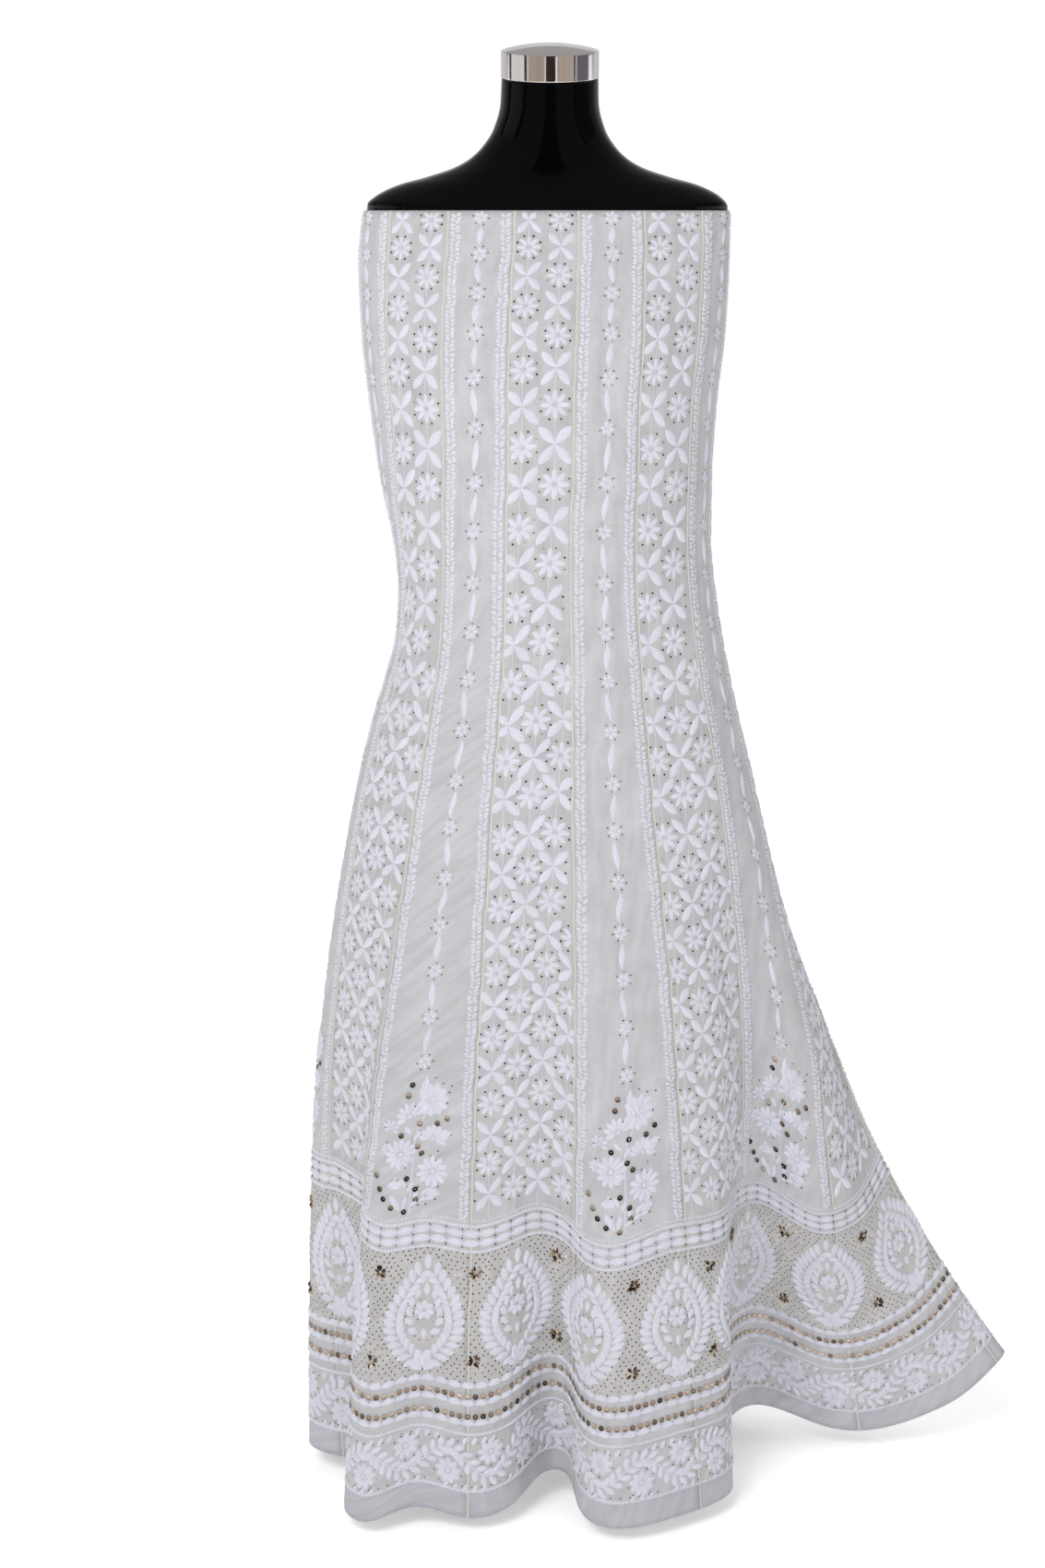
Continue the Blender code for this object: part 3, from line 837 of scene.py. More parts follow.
def cloth_material(name, colour, weave, strips):
    """Fine cotton: the kali's own white, the greyer hem strip and the tan net, with weave and mottling; the hem
    strip and net colours are also darkened as painted shade, since the glowing floor lights the lower cloth.
    """
    material, tree, shader = new_material(name)
    tone, height = node(tree, "Group", node_tree=weave).outputs
    hem, net = node(tree, "Group", node_tree=strips).outputs
    # Hem strip and net: their own greyer and tan tones, also darkened as painted shade on the lower cloth
    base = blend_colour(tree, hem, colour, (0.480, 0.480, 0.518))
    base = blend_colour(tree, net, base, (0.505, 0.492, 0.490))
    feed(tree, shader, {
        "Base Color": shade(tree, base, tone),
        "Normal": bump(tree, height, 0.25 * MM, 0.6),
        "Roughness": 0.86,
        "Sheen Weight": 0.15,
        "Specular IOR Level": 0.25,
    })
    return material


def thread_material(name, colour, stitch, per_metre=1500.0, slant=0.6, depth=0.15):
    """Untwisted cotton thread: satin ridges over a bluish or creamy white, finer or coarser as it is laid."""
    material, tree, shader = new_material(name)
    laid = {"Stitches per metre": per_metre, "Slant": slant}
    tone, height = node(tree, "Group", laid, node_tree=stitch).outputs
    feed(tree, shader, {
        "Base Color": shade(tree, colour, tone),
        "Normal": bump(tree, height, depth * MM, 0.8),
        "Roughness": 0.6,
        "Sheen Weight": 0.2,
    })
    return material


def metal_material(name, foil, stops, roughness, rim=1.0):
    """Metal foil, its colour picked from a ramp by each shape's lot number, with painted shade past the rim
    radius.
    """
    material, tree, shader = new_material(name)
    lot, painted_rim_shade, wear = node(tree, "Group", {"Rim radius": rim}, node_tree=foil).outputs
    ramp = node(tree, "ValToRGB", {0: lot})
    elements = ramp.color_ramp.elements
    while len(elements) < len(stops):
        elements.new(0.5)
    for element, (place, colour) in zip(elements, stops):
        element.position, element.color = place, (*colour, 1)
    feed(tree, shader, {
        "Base Color": shade(tree, ramp.outputs[0], painted_rim_shade),
        "Roughness": scaled(tree, wear, 0.2, roughness),
        "Metallic": 0.9,
    })
    return material


def gloss_black_material():
    """Black lacquered fibreglass: faint orange peel and hairline dust in the lacquer."""
    material, tree, shader = new_material("black_lacquer")
    place = object_place(tree)
    dust = noise(tree, place, 35.0, 6.0)
    black, dusty = (0.0008, 0.0008, 0.0010), (0.0020, 0.0020, 0.0024)
    feed(tree, shader, {
        "Base Color": blend_colour(tree, scaled(tree, dust, 0.5), black, dusty),
        "Roughness": scaled(tree, dust, 0.08, 0.06),
        "Normal": bump(tree, noise(tree, place, 160.0), 0.05 * MM, 0.25),
        "Specular IOR Level": 0.1,
    })
    return material


def polished_material(name, colour, roughness, brushed):
    """Polished or turned metal: fine rings or smears that roughen it, by the object's own place."""
    material, tree, shader = new_material(name)
    rings = noise(tree, stretched(tree, object_place(tree), (3.0, 3.0, brushed)), 8.0, 4.0)
    feed(tree, shader, {
        "Base Color": shade(tree, colour, scaled(tree, rings, 0.16, 0.92)),
        "Roughness": scaled(tree, rings, 0.12, roughness),
        "Metallic": 1.0,
    })
    return material


# Cloth pieces


def cloth_shell(panel, material, kind):
    """One kali as a thin shell: the gown's face, a grid a shell's depth inside it, and the rim."""
    span = slice(panel * COLUMNS, (panel + 1) * COLUMNS + 1)
    outer = FACE.point[:, span].copy()
    for edge, beside in ((0, 1), (COLUMNS, COLUMNS - 1)):
        way = outer[:, beside] - outer[:, edge]
        outer[:, edge] += way / np.linalg.norm(way, axis=1, keepdims=True) * SEAM_GAP / 2
    inner = outer - FACE.normal[:, span] * SHELL
    rows, columns = outer.shape[:2]
    size = rows * columns
    quads = grid_quads(rows, columns)
    hem, left = np.arange(columns), np.arange(rows) * columns
    top, right = hem + size - columns, left + columns - 1
    rims = []
    for line, turned_over in ((hem, False), (top, True), (left, True), (right, False)):
        rim = np.stack([line[:-1], line[:-1] + size, line[1:] + size, line[1:]], axis=1)
        rims.append(rim[:, ::-1] if turned_over else rim)
    uv = np.stack([FACE.along[:, span], FACE.height[:, span]], axis=2).reshape(-1, 2)
    points = np.concatenate([outer.reshape(-1, 3), inner.reshape(-1, 3)])
    faces = [quads[:, ::-1], quads + size] + rims
    name = f"{kind}_cloth_{panel + 1:02d}"
    piece = add_piece(name, points, faces, material, np.concatenate([uv, uv]))
    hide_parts(f"{kind}_kali_{panel + 1:02d}")


def build_cloth():
    """Fourteen kalis, jaal and plain in turn from the front centre."""
    weave, strips = woven_group(), border_group()
    jaal = cloth_material("jaal_cotton", (0.494, 0.486, 0.498), weave, strips)
    plain = cloth_material("plain_cotton", (0.518, 0.515, 0.536), weave, strips)
    for panel in range(PANELS):
        cloth_shell(panel, *((plain, "plain") if panel % 2 else (jaal, "jaal")))


# Threadwork, in mm

# Heights of the jaal's rows up each jaal kali, and of the vine's flowers up each plain one
JAAL_ROWS = (
    1360, 1331, 1300, 1268, 1236, 1203, 1166, 1126, 1086, 1045, 1006, 966, 928, 888, 846, 808, 770, 728, 692,
    656, 620, 588, 553, 519, 484, 449, 415, 384, 351,
)
VINE_ROWS = (
    490, 538, 587, 635, 686, 738, 787, 840, 892, 941, 991, 1043, 1092, 1146, 1196, 1241, 1283, 1324, 1363,
)
# Offset of the jaal's middle column and pitch of its columns at each height
Track = namedtuple("Track", "height middle pitch")
JAAL_TRACK = [
    Track(326, -11.4, 27.5),
    Track(450, -9.4, 27),
    Track(584, -8, 26.5),
    Track(700, -3.5, 26.5),
    Track(800, -1.0, 28),
    Track(884, 1.5, 29),
    Track(962, 8.6, 31),
    Track(1046, 13.5, 33.5),
    Track(1370, 15, 32.5),
]
# How far each jaal kali's columns lean aside at the border, and the height from which they lean
JAAL_LEANS = (0, -16, 5, -6, 8, -4, 10)
LEAN_FROM = 900
JAAL_TOP = GOWN_LENGTH - 2
JAAL_PITCH = 37
CROSS_TURNS = radians(41) * np.array([1, -1, 1, -1]) + np.array([0, 0, pi, pi])
SEAM_CLEAR = 2
LEAST_PETAL = 0.25


def jaal_track(panel, heights):
    """Middle column's offset and the column pitch at heights up one jaal kali, leaning as that kali does."""
    keys, middles, pitches = zip(*JAAL_TRACK)
    lean = JAAL_LEANS[panel // 2] * np.clip((LEAN_FROM - heights) / (LEAN_FROM - BORDER_TOP), 0, 1)
    return smooth_column(keys, middles, heights) + lean, smooth_column(keys, pitches, heights)


def build_jaal(thread, gold):
    """Crosses of four leaves and eight petalled daisies on a chequered lattice.

    A petal that would pass a seam, the top edge or the border is shortened to fit, as one cut with the cloth.
    """
    petals = Stitching("jaal_petals", thread, "jaal_cloth")
    dots = Stitching("jaal_gold_dots", gold, "jaal_cloth")
    stems = Stitching("jaal_stems", thread, "jaal_cloth")
    rows = np.array(JAAL_ROWS, float)
    spacing = np.abs(np.gradient(rows))[:, None]
    columns = np.arange(-3, 4)
    cross = (np.arange(len(rows))[:, None] + columns) % 2 == 1
    plans = [
        (cross, SPADE, CROSS_TURNS, 0.0, 23.8, 10.4),
        (~cross, PLUMP, ring_of(8), 1.6, 13.8, 6.3),
    ]
    for panel in range(0, PANELS, 2):
        middle, pitch = jaal_track(panel, rows)
        site_x = middle[:, None] + columns * pitch[:, None]
        site_h = rows[:, None] + 0 * site_x
        grow = (spacing / JAAL_PITCH + 0 * site_x) ** 0.9
        for chosen, shape, turn, start, long, wide in plans:
            size = grow[chosen, None]
            x = site_x[chosen, None] + np.sin(turn) * start
            y = np.cos(turn) * start + 0 * x
            h = site_h[chosen, None] + 0 * x
            half = FACE.kali_width(panel, h) / 2 - SEAM_CLEAR
            turns, sizes = turn + 0 * x, size + 0 * x
            reach_x, reach_h = np.abs(np.sin(turns)) * long * sizes, np.cos(turns) * long * sizes
            room_x = half + 1.5 - x * np.sign(np.sin(turns))
            room_h = np.where(reach_h > 0, JAAL_TOP - h - y, h + y - BORDER_TOP)
            fit = np.minimum(room_x / (reach_x + 1e-3), room_h / (np.abs(reach_h) + 1e-3))
            inside = (fit > LEAST_PETAL) & (np.abs(x) < half) & (h + y < JAAL_TOP) & (h + y > BORDER_TOP)
            fit = np.minimum(fit, 1)[inside]
            petals.lay(shape, panel, h[inside], x[inside], y[inside], turns[inside], long * sizes[inside] * fit,
                       wide * sizes[inside] * fit**0.3, 1.5)
            if shape is PLUMP:
                around = ring_of(8, radians(22.5))
                dx = site_x[chosen, None] + np.sin(around) * 15.2 * size
                dy = np.cos(around) * 15.2 * size
                inside = (np.abs(dx) < half) & (h + dy < JAAL_TOP) & (h + dy > BORDER_TOP)
                dots.discs(BEAD, panel, h[inside], dx[inside], dy[inside], 1.7, 1.0)
        steps = np.arange(BORDER_TOP, JAAL_TOP, 9.0)
        middle, pitch = jaal_track(panel, steps)
        for column in columns:
            x = middle + column * pitch
            inside = np.abs(x) < FACE.kali_width(panel, steps) / 2 - 5
            if inside.sum() > 3:
                stems.line(float(panel), steps[inside], x[inside], 0.0, 1.1, 0.5, profile=3)
    for part in (petals, dots, stems):
        part.build()


def build_vines(thread, gold):
    """Straight vine down the middle of each plain kali: small six petalled flowers with long leaves between."""
    leaves = Stitching("vine_threads", thread)
    dots = Stitching("vine_gold_dots", gold)
    heights = np.array(VINE_ROWS, float)
    pitch = np.diff(heights)
    side = np.where(np.arange(len(pitch)) % 3 == 1, -1, 1)
    for panel in range(1, PANELS, 2):
        for index, height in enumerate(heights):
            leaves.petals(PLUMP, panel, height, ring_of(6, 0.3 * index), 1.0, 6.6, 4.6, 1.1)
            around = ring_of(6, 0.3 * index + pi / 6)
            around = around[height + np.cos(around) * 8.5 < GOWN_LENGTH - 2]
            dots.discs(BEAD, panel, height, np.sin(around) * 8.4, np.cos(around) * 8.4, 1.3, 1.0)
        leaves.lay(LEAF, panel, heights[:-1] + 10, -side * 1.6, 0.0, side * radians(7), pitch - 20, 8.0, 1.6)
        stem = np.arange(heights[0] - 16, GOWN_LENGTH - 2, 9.0)
        leaves.line(float(panel), stem, 0.0, 0.0, 1.1, 0.5, profile=3)
    leaves.build()
    dots.build()


BRAID_OFFSET = 7.8
BRAID_PITCH = 4.1


def build_braids(thread):
    """Braid up both edges of each plain kali: knots slanting out to both sides, a little uneven."""
    braid = Stitching("seam_braids", thread)
    heights = np.arange(BORDER_TOP + 1, GOWN_LENGTH - 5, BRAID_PITCH)
    luck = np.random.default_rng(11)
    for panel in range(1, PANELS, 2):
        for side in (-1, 1):
            for row in (-1, 1):
                turn = row * (1.1 + luck.normal(0, 0.2, len(heights)))
                x = -side * BRAID_OFFSET + row * (luck.normal(0, 0.35, len(heights)) - 0.5)
                braid.lay(KNOT, panel + side * 0.5, heights, x, row * 1.0, turn, 6.8, 3.9, 2.0)
    braid.build()


def build_piping(cream):
    """Cream piping sewn in at every seam, on the jaal side, from the hem to the top edge."""
    piping = Stitching("seam_piping", cream, "jaal_cloth")
    heights = np.linspace(0.5, GOWN_LENGTH - 0.5, 150)
    for seam in range(PANELS):
        piping.line(seam - 0.5, heights, -0.7 if seam % 2 else 0.7, 0.0, 2.8, 0.9)
    piping.build()


SCALLOP_ROWS = (102, 124, 143)
EYE_ROWS = (300, 310)
EYE_MIDDLE = 305
EYE_PITCH = 17.8
Rope = namedtuple("Rope", "height long")
ROPES = [Rope(29, 6.4), Rope(92, 5.6), Rope(291, 5.6), Rope(318, 6.2)]


def build_border_rows(thread, rope, gold):
    """Ropes, rows of padded scallops and eyes, picots and dots that run round the border."""
    rows = Stitching("border_rows", thread)
    for height in SCALLOP_ROWS:
        rows.lay(SCALLOP, FACE.spaced(height, 14.7), height, -7.6, 1.6, pi / 2, 15.6, 8.6, 2.2)
    for height in EYE_ROWS:
        rows.lay(EYE, FACE.spaced(EYE_MIDDLE, EYE_PITCH), height, -9, 0.0, pi / 2, 18.4, 8.8, 2.2)
    rows.build()
    ropes = Stitching("border_ropes", rope)
    luck = np.random.default_rng(12)
    for height, long in ROPES:
        kali = FACE.spaced(height, 3.1)
        turn = 0.85 + luck.normal(0, 0.2, len(kali))
        ropes.lay(KNOT, kali, height, -np.sin(turn) * long / 2, -np.cos(turn) * long / 2, turn, long, 3.4, 1.9)
    ropes.lay(KNOT, FACE.spaced(322, 3.2), 320.5, 0.0, 0.0, 0.0, 5.0, 2.2, 1.3)
    ropes.build()
    dots = Stitching("border_gold_dots", gold)
    for height in (295.5, 305, 314.5):
        dots.discs(BEAD, FACE.spaced(EYE_MIDDLE, EYE_PITCH, phase=0.5), height, 0.0, 0.0, 1.2, 1.8)
    dots.build()


# Medallions: their height, and the kali positions of those round the hem
MEDALLION_HEIGHT = 220
MEDALLIONS = np.array([
    -2.41, -1.63, -0.85, -0.06, 0.68, 1.40, 2.02, 2.64, 3.40, 4.26, 5.08, 5.89, 6.70, 7.52, 8.33, 9.15,
    9.96, 10.78,
])


def build_sequins(gold, dots):
    """Two lines of cupped sequins round the border, and crossed clusters between the medallions."""
    sequins = Stitching("border_sequins", gold)
    for height in (112, 134):
        sequins.discs(SEQUIN, FACE.spaced(height, 8.4), height, 0.0, 0.0, 3.0, 0.8, SEQUIN_LIFT)
    sequins.build()
    between = (MEDALLIONS + np.append(MEDALLIONS[1:], MEDALLIONS[0] + PANELS)) / 2
    clusters = Stitching("bead_clusters", dots)
    luck = np.random.default_rng(13)
    for height in (172, 268):
        for turn in np.concatenate([ring_of(7, 0.2), ring_of(4, 0.9)]):
            turns = turn + luck.normal(0, 0.3, len(between))
            start = luck.uniform(0.5, 3.2, len(between))
            clusters.petals(KNOT, between, height, turns, start, 5.6, 2.6, 1.8, 0.2)
    clusters.build()


def almond(share, half_wide, low, high, lean=0.9, blunt=0.8):
    """Right side of a pointed almond from its foot, half_wide sin(pi s^lean)^blunt, and its turn."""
    step = 0.01
    here, beyond, before = (
        half_wide * np.sin(pi * np.clip(s, 0, 1) ** lean) ** blunt for s in (share, share + step, share - step)
    )
    return here, low + (high - low) * share, np.arctan((beyond - before) / (2 * step * (high - low)))


# Leaves of the wreath's outer and inner rows on each side, and single leaves that mirroring doesn't double
Wreath = namedtuple("Wreath", "count reach sway long wide")
WREATH = [Wreath(14, 31.0, 0.86, 17.0, 8.6), Wreath(14, 30.5, -0.66, 13.5, 8.0)]
Leaf = namedtuple("Leaf", "x y turn long wide")
FOOT_LEAVES = [Leaf(0.5, -66, 58, 16, 8.0), Leaf(0.5, -64, 30, 16, 8.0), Leaf(1, -55, 22, 13, 7.4)]
SINGLE_LEAVES = [
    Leaf(0, 45, 0, 17, 8.4), Leaf(0, 16, 0, 14, 7.4), Leaf(0, -62, 0, 15, 8), Leaf(0, -32, 0, 12, 7.4),
]


def leaf_rows(x, y, turn, long, wide):
    """Leaves as rows of (x, y, turn, long, wide), single values repeated."""
    return np.stack(np.broadcast_arrays(x, y, turn, long, wide), axis=1).astype(float)


def medallion_leaves():
    """Leaves of one almond medallion as (x, y, turn, long, wide): wreath, inner ring and middle daisy."""
    right = []
    for row in WREATH:
        x, y, way = almond(np.linspace(0.03, 0.90, row.count), row.reach, -59, 49, blunt=1.0)
        right.append(leaf_rows(x, y, way + row.sway, row.long, row.wide))
    x, y, way = almond(np.array([0.10, 0.27, 0.44, 0.60, 0.76]), 13.5, -31, 26)
    right.append(leaf_rows(x, y, way + 0.40, 13.0, 8.0))
    foot, single = (np.array(leaves, float) for leaves in (FOOT_LEAVES, SINGLE_LEAVES))
    foot[:, 2] = np.radians(foot[:, 2])
    right = np.concatenate(right + [foot])
    turn = ring_of(7)
    daisy = leaf_rows(np.sin(turn) * 1.4, np.cos(turn) * 1.4, turn, 10.0, 7.4)
    return np.concatenate([right, right * (-1, 1, -1, 1, 1), daisy, single])


def medallion_dots():
    """Gold dots of one medallion: an almond inside the wreath and a ring round the daisy."""
    x, y, _ = almond(np.linspace(0.03, 0.97, 15), 20.5, -35, 36)
    around = ring_of(9, 0.3)
    return np.concatenate([x, -x, np.sin(around) * 11.8]), np.concatenate([y, y, np.cos(around) * 12.5])


def build_medallions(thread, gold):
    """Medallions round the netted band, all of the same leaves and dots."""
    petals = Stitching("medallion_leaves", thread)
    dots = Stitching("medallion_gold_dots", gold)
    leaves = medallion_leaves().T
    xs, ys = medallion_dots()
    for kali in MEDALLIONS:
        petals.lay(SATIN, kali, MEDALLION_HEIGHT, *leaves, 2.4)
        dots.discs(BEAD, kali, MEDALLION_HEIGHT, xs, ys, 1.15, 1.1)
    petals.build()
    dots.build()


MUKAISH_COUNT = 270
MUKAISH_ROW = 4.6


def build_mukaish(metal):
    """Small flat metal dots in staggered rows over the net, as many in each row, none under a medallion."""
    dots = Stitching("mukaish_dots", metal)
    luck = np.random.default_rng(4)
    ring = np.arange(RING + 1.0)
    for index, height in enumerate(np.arange(NET_BOTTOM + 3, NET_TOP - 2, MUKAISH_ROW)):
        kali = FACE.spaced(height, 0, phase=0.5 * (index % 2), count=MUKAISH_COUNT)
        run = FACE.round_run(height)
        at, centres = (np.interp((k % PANELS + 0.5) % PANELS * COLUMNS, ring, run) for k in (kali, MEDALLIONS))
        away = (at[:, None] - centres + run[-1] / 2) % run[-1] - run[-1] / 2
        half, _, _ = almond(np.clip((height - MEDALLION_HEIGHT + 64) / 128, 0, 1), 42, 0, 1)
        clear = np.abs(away).min(1) > half
        jog = luck.normal(0, 0.6, (2, clear.sum()))
        dots.discs(BEAD, kali[clear], height, *jog, 1.15, 0.4, -0.05)
    dots.build()


BAND_MIDDLE = 59
BAND_DAISIES = 48
BAND_SWING = 15


def build_flower_band(thread, gold):
    """Band above the hem strip: a stem waving as a cosine, leaves off it and a daisy in each of its bends."""
    threads = Stitching("flower_band", thread)
    dots = Stitching("flower_band_gold_dots", gold)
    kali = FACE.spaced(BAND_MIDDLE, 0, phase=0.55, count=BAND_DAISIES)
    height = BAND_MIDDLE + np.where(np.arange(BAND_DAISIES) % 2 == 0, 12, -11)
    for turn in ring_of(9):
        threads.petals(PLUMP, kali, height, turn, 2.5, 12.5, 7.4, 2.0)
        spot = turn + pi / 9
        dots.discs(BEAD, kali, height, np.sin(spot) * 15.6, np.cos(spot) * 15.6, 1.2, 1.4)
    for edge, way, phase, dot_rise in ((37, pi + 0.5, 0.0, -3), (80, 0.45, 0.5, 3)):
        row = FACE.spaced(edge, 10.5, phase=phase)
        threads.lay(SATIN, row[np.arange(len(row)) % 5 < 3], edge, 0.0, 0.0, way, 10, 6.0, 1.8)
        dots.discs(BEAD, row, edge, 5.2, dot_rise, 1.2, 1.2)
    threads.discs(BEAD, kali, height, 0.0, 0.0, 3, 1.6)
    run = FACE.round_run(BAND_MIDDLE)
    along = np.linspace(0, run[-1], BAND_DAISIES * 12 + 1)
    phase = along / run[-1] * BAND_DAISIES * pi - 0.55 * pi
    wave = -BAND_SWING * np.cos(phase)
    stem = np.interp(along, run, np.arange(RING + 1.0)) / COLUMNS - 0.5
    threads.line(stem, BAND_MIDDLE, 0.0, wave, 2.0, 1.1, profile=4)
    slope = np.arctan2(run[-1] / (BAND_DAISIES * pi), BAND_SWING * np.sin(phase))
    each = slice(0, -1, 2)
    for side in (0.78, -0.78):
        threads.lay(SATIN, stem[each], BAND_MIDDLE, 0.0, wave[each], slope[each] + side, 14.5, 7.4, 2.0)
    threads.build()
    dots.build()


# Bouquet at the foot of each vine, from the kali's centre and from the border's top
Flower = namedtuple("Flower", "x y radius petals wide first spread")
FLOWERS = [
    Flower(12, 133, 18, 10, 9.6, -50, 300),
    Flower(11, 131, 9, 6, 5.8, 0, 360),
    Flower(-11, 117, 15, 7, 6.4, -115, 190),
    Flower(-31, 104, 9, 6, 5.0, -120, 240),
    Flower(15, 88, 15, 8, 7.2, -80, 190),
    Flower(-18, 74, 17, 12, 6.6, 0, 360),
    Flower(18, 50, 17, 11, 7.2, 0, 360),
    Flower(-33, 78, 8, 5, 4.6, -140, 150),
    Flower(-21, 46, 12, 5, 5.2, 130, 90),
    Flower(19, 33, 12, 5, 5.2, 140, 90),
]
Sprig = namedtuple("Sprig", "x y long wide turn")
SPRIGS = [
    Sprig(1.5, 119, 40, 8.5, 4),
    Sprig(18, 92, 18, 7.5, 74),
    Sprig(-14, 8, 22, 8, -32),
    Sprig(-12, 6, 18, 5, 10),
    Sprig(-4, 12, 10, 4.5, 60),
    Sprig(4, 16, 10, 4.5, 70),
    Sprig(12, 18, 10, 4.5, 80),
    Sprig(0, 20, 9, 4.5, 20),
    Sprig(8, 21, 9, 4.5, 30),
    Sprig(-8, 96, 12, 5, -40),
    Sprig(-6, 88, 12, 5, 40),
    Sprig(-7, 70, 11, 5, 35),
    Sprig(-8, 62, 11, 5, -30),
    Sprig(-10, 34, 12, 5, -25),
    Sprig(-8, 28, 12, 5, 30),
]
BOUQUET_RISE = 0.93
BOUQUET_STEM = [(3, -4), (20, -4), (42, -3), (62, -3), (84, -4), (100, -2), (114, 4), (124, 8)]
BOUQUET_SEQUINS = [
    (-10, 153), (-13.5, 141), (29, 113), (19, 106), (0, 107), (-19, 96), (-1, 81), (5, 72), (-9, 45),
    (1, 31), (2, 19), (-43, 46), (-38, 32), (-33, 22), (-24, 13), (-10, 7),
]
BOUQUET_DOTS = [
    (14, 158), (23, 152), (32, 151), (30, 143), (28, 130), (-6, 128), (-30, 121), (-37, 103), (-26, 102),
    (-35, 87), (-26, 81), (-15, 81), (1, 94), (10, 101), (34, 95), (22, 74), (15, 68), (29, 79), (21, 63),
    (28, 52), (25, 33), (-10, 71), (-11, 58), (-19, 45), (-18, 25), (23, 18), (5, 12), (13, 12), (4, 33),
    (12, 28), (-8, 35),
]


def build_bouquets(thread, gold, gold_dots):
    """One bouquet of daisies, fan flowers and leaves on each plain kali, standing on the border."""
    threads = Stitching("bouquet_threads", thread)
    sequins = Stitching("bouquet_sequins", gold)
    dots = Stitching("bouquet_gold_dots", gold_dots)
    sprigs = Sprig(*np.array(SPRIGS).T)
    stem_y, stem_x = zip(*BOUQUET_STEM)
    steps = np.linspace(stem_y[0], stem_y[-1], 24)
    stem = smooth_column(stem_y, stem_x, steps)
    sequin_x, sequin_y = np.array(BOUQUET_SEQUINS).T
    dot_x, dot_y = np.array(BOUQUET_DOTS).T
    for panel in range(1, PANELS, 2):
        for flower in FLOWERS:
            closed = flower.spread == 360
            shares = np.arange(flower.petals) / (flower.petals if closed else flower.petals - 1)
            turn = np.radians(flower.first + flower.spread * shares)
            start = flower.radius * 0.18
            middle_y = flower.y * BOUQUET_RISE
            x, y = flower.x + np.sin(turn) * start, middle_y + np.cos(turn) * start
            threads.lay(BROAD, panel, BORDER_TOP, x, y, turn, flower.radius * 0.86, flower.wide, 1.8)
            threads.discs(BEAD, panel, BORDER_TOP, flower.x, middle_y, flower.radius * 0.2, 1.5)
        threads.lay(BROAD, panel, BORDER_TOP, sprigs.x, sprigs.y * BOUQUET_RISE, np.radians(sprigs.turn),
                    sprigs.long, sprigs.wide + 1.2, 1.7)
        threads.line(float(panel), BORDER_TOP, stem, steps * BOUQUET_RISE, 2.0, 1.1, profile=4)
        sequins.discs(SEQUIN, panel, BORDER_TOP, sequin_x, sequin_y * BOUQUET_RISE, 2.9, 0.9, SEQUIN_LIFT)
        dots.discs(BEAD, panel, BORDER_TOP, dot_x, dot_y * BOUQUET_RISE, 1.3, 1.2)
    for part in (threads, sequins, dots):
        part.build()


# Form, cap and stand


def form_profile():
    """Levels of the form from its flat bottom to the neck: rise above the top edge in mm, and its section."""
    levels = []
    for drop in np.linspace(FORM_BOTTOM_DROP / MM, 0, BODY_LEVELS):
        cloth, inset = table_at(SECTIONS, "drop", drop), table_at(INSETS, "drop", drop)
        levels.append((-drop, cloth.left - inset.sides, cloth.right - inset.sides, cloth.front - inset.depth,
                       cloth.back - inset.depth, cloth.side_y, cloth.square, cloth.shift_x))
    for s in SHOULDERS:
        levels.append((s.rise, s.half_width, s.half_width, s.front, s.back, NECK_CENTRE_Y / MM, s.square, 0))
    return np.array(levels, float)


def build_form(material):
    """Smooth torso: superellipse sections read from the levels by the same cubic, neck top leaning a little."""
    levels = form_profile()
    top = NECK_TOP_RISE / MM
    body = levels[: BODY_LEVELS - 1, 0]
    rises = np.concatenate([body, np.linspace(0, 60, 41), np.linspace(60, top, 24)[1:]])
    columns = [smooth_column(levels[:, 0], levels[:, c], rises) for c in range(1, 8)]
    shares = np.arange(FORM_COLUMNS) / FORM_COLUMNS
    rings = []
    for rise, *reaches in zip(rises, *columns):
        section = Section(0, *reaches)
        plan = walk(outline(section, 1440), np.array([section.shift_x, -section.front]) * MM, shares)
        share = max(0.0, rise / top)
        plan[:, 0] += NECK_SIDE * share**0.4
        lean = np.tan(CAP_TILT) * share**2
        rings.append(np.column_stack([plan, TOP_EDGE_Z + rise * MM + lean * (plan[:, 1] - NECK_CENTRE_Y)]))
    points = np.concatenate(rings + [[rings[0].mean(0), rings[-1].mean(0)]])
    piece = add_piece("black_form", points, capped_faces(len(rings), FORM_COLUMNS), material)
    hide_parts("form_torso")


def turned(profile, centre, tilt=0.0):
    """Solid of revolution from (radius, height) pairs, bottom to top, its poles closed, tilted about X."""
    radius, height = np.array(profile, float).T[:, :, None]
    angle = ring_of(TURNED_STEPS)
    ring = np.stack([radius * np.cos(angle), radius * np.sin(angle), height + 0 * angle], axis=2)
    points = np.concatenate([ring.reshape(-1, 3), [(0, 0, profile[0][1]), (0, 0, profile[-1][1])]])
    lean = np.array([(1, 0, 0), (0, cos(tilt), -sin(tilt)), (0, sin(tilt), cos(tilt))])
    return points @ lean.T + np.array(centre), capped_faces(len(profile), TURNED_STEPS)


def rounded_edge(radius, height, fillet, upper, steps=5):
    """Quarter circle at a turned piece's outer edge: (radius, height) pairs going up."""
    angle = np.linspace(0, pi / 2, steps)
    if upper:
        return list(zip(radius - fillet + fillet * np.cos(angle), height - fillet + fillet * np.sin(angle)))
    return list(zip(radius - fillet + fillet * np.sin(angle), height + fillet - fillet * np.cos(angle)))


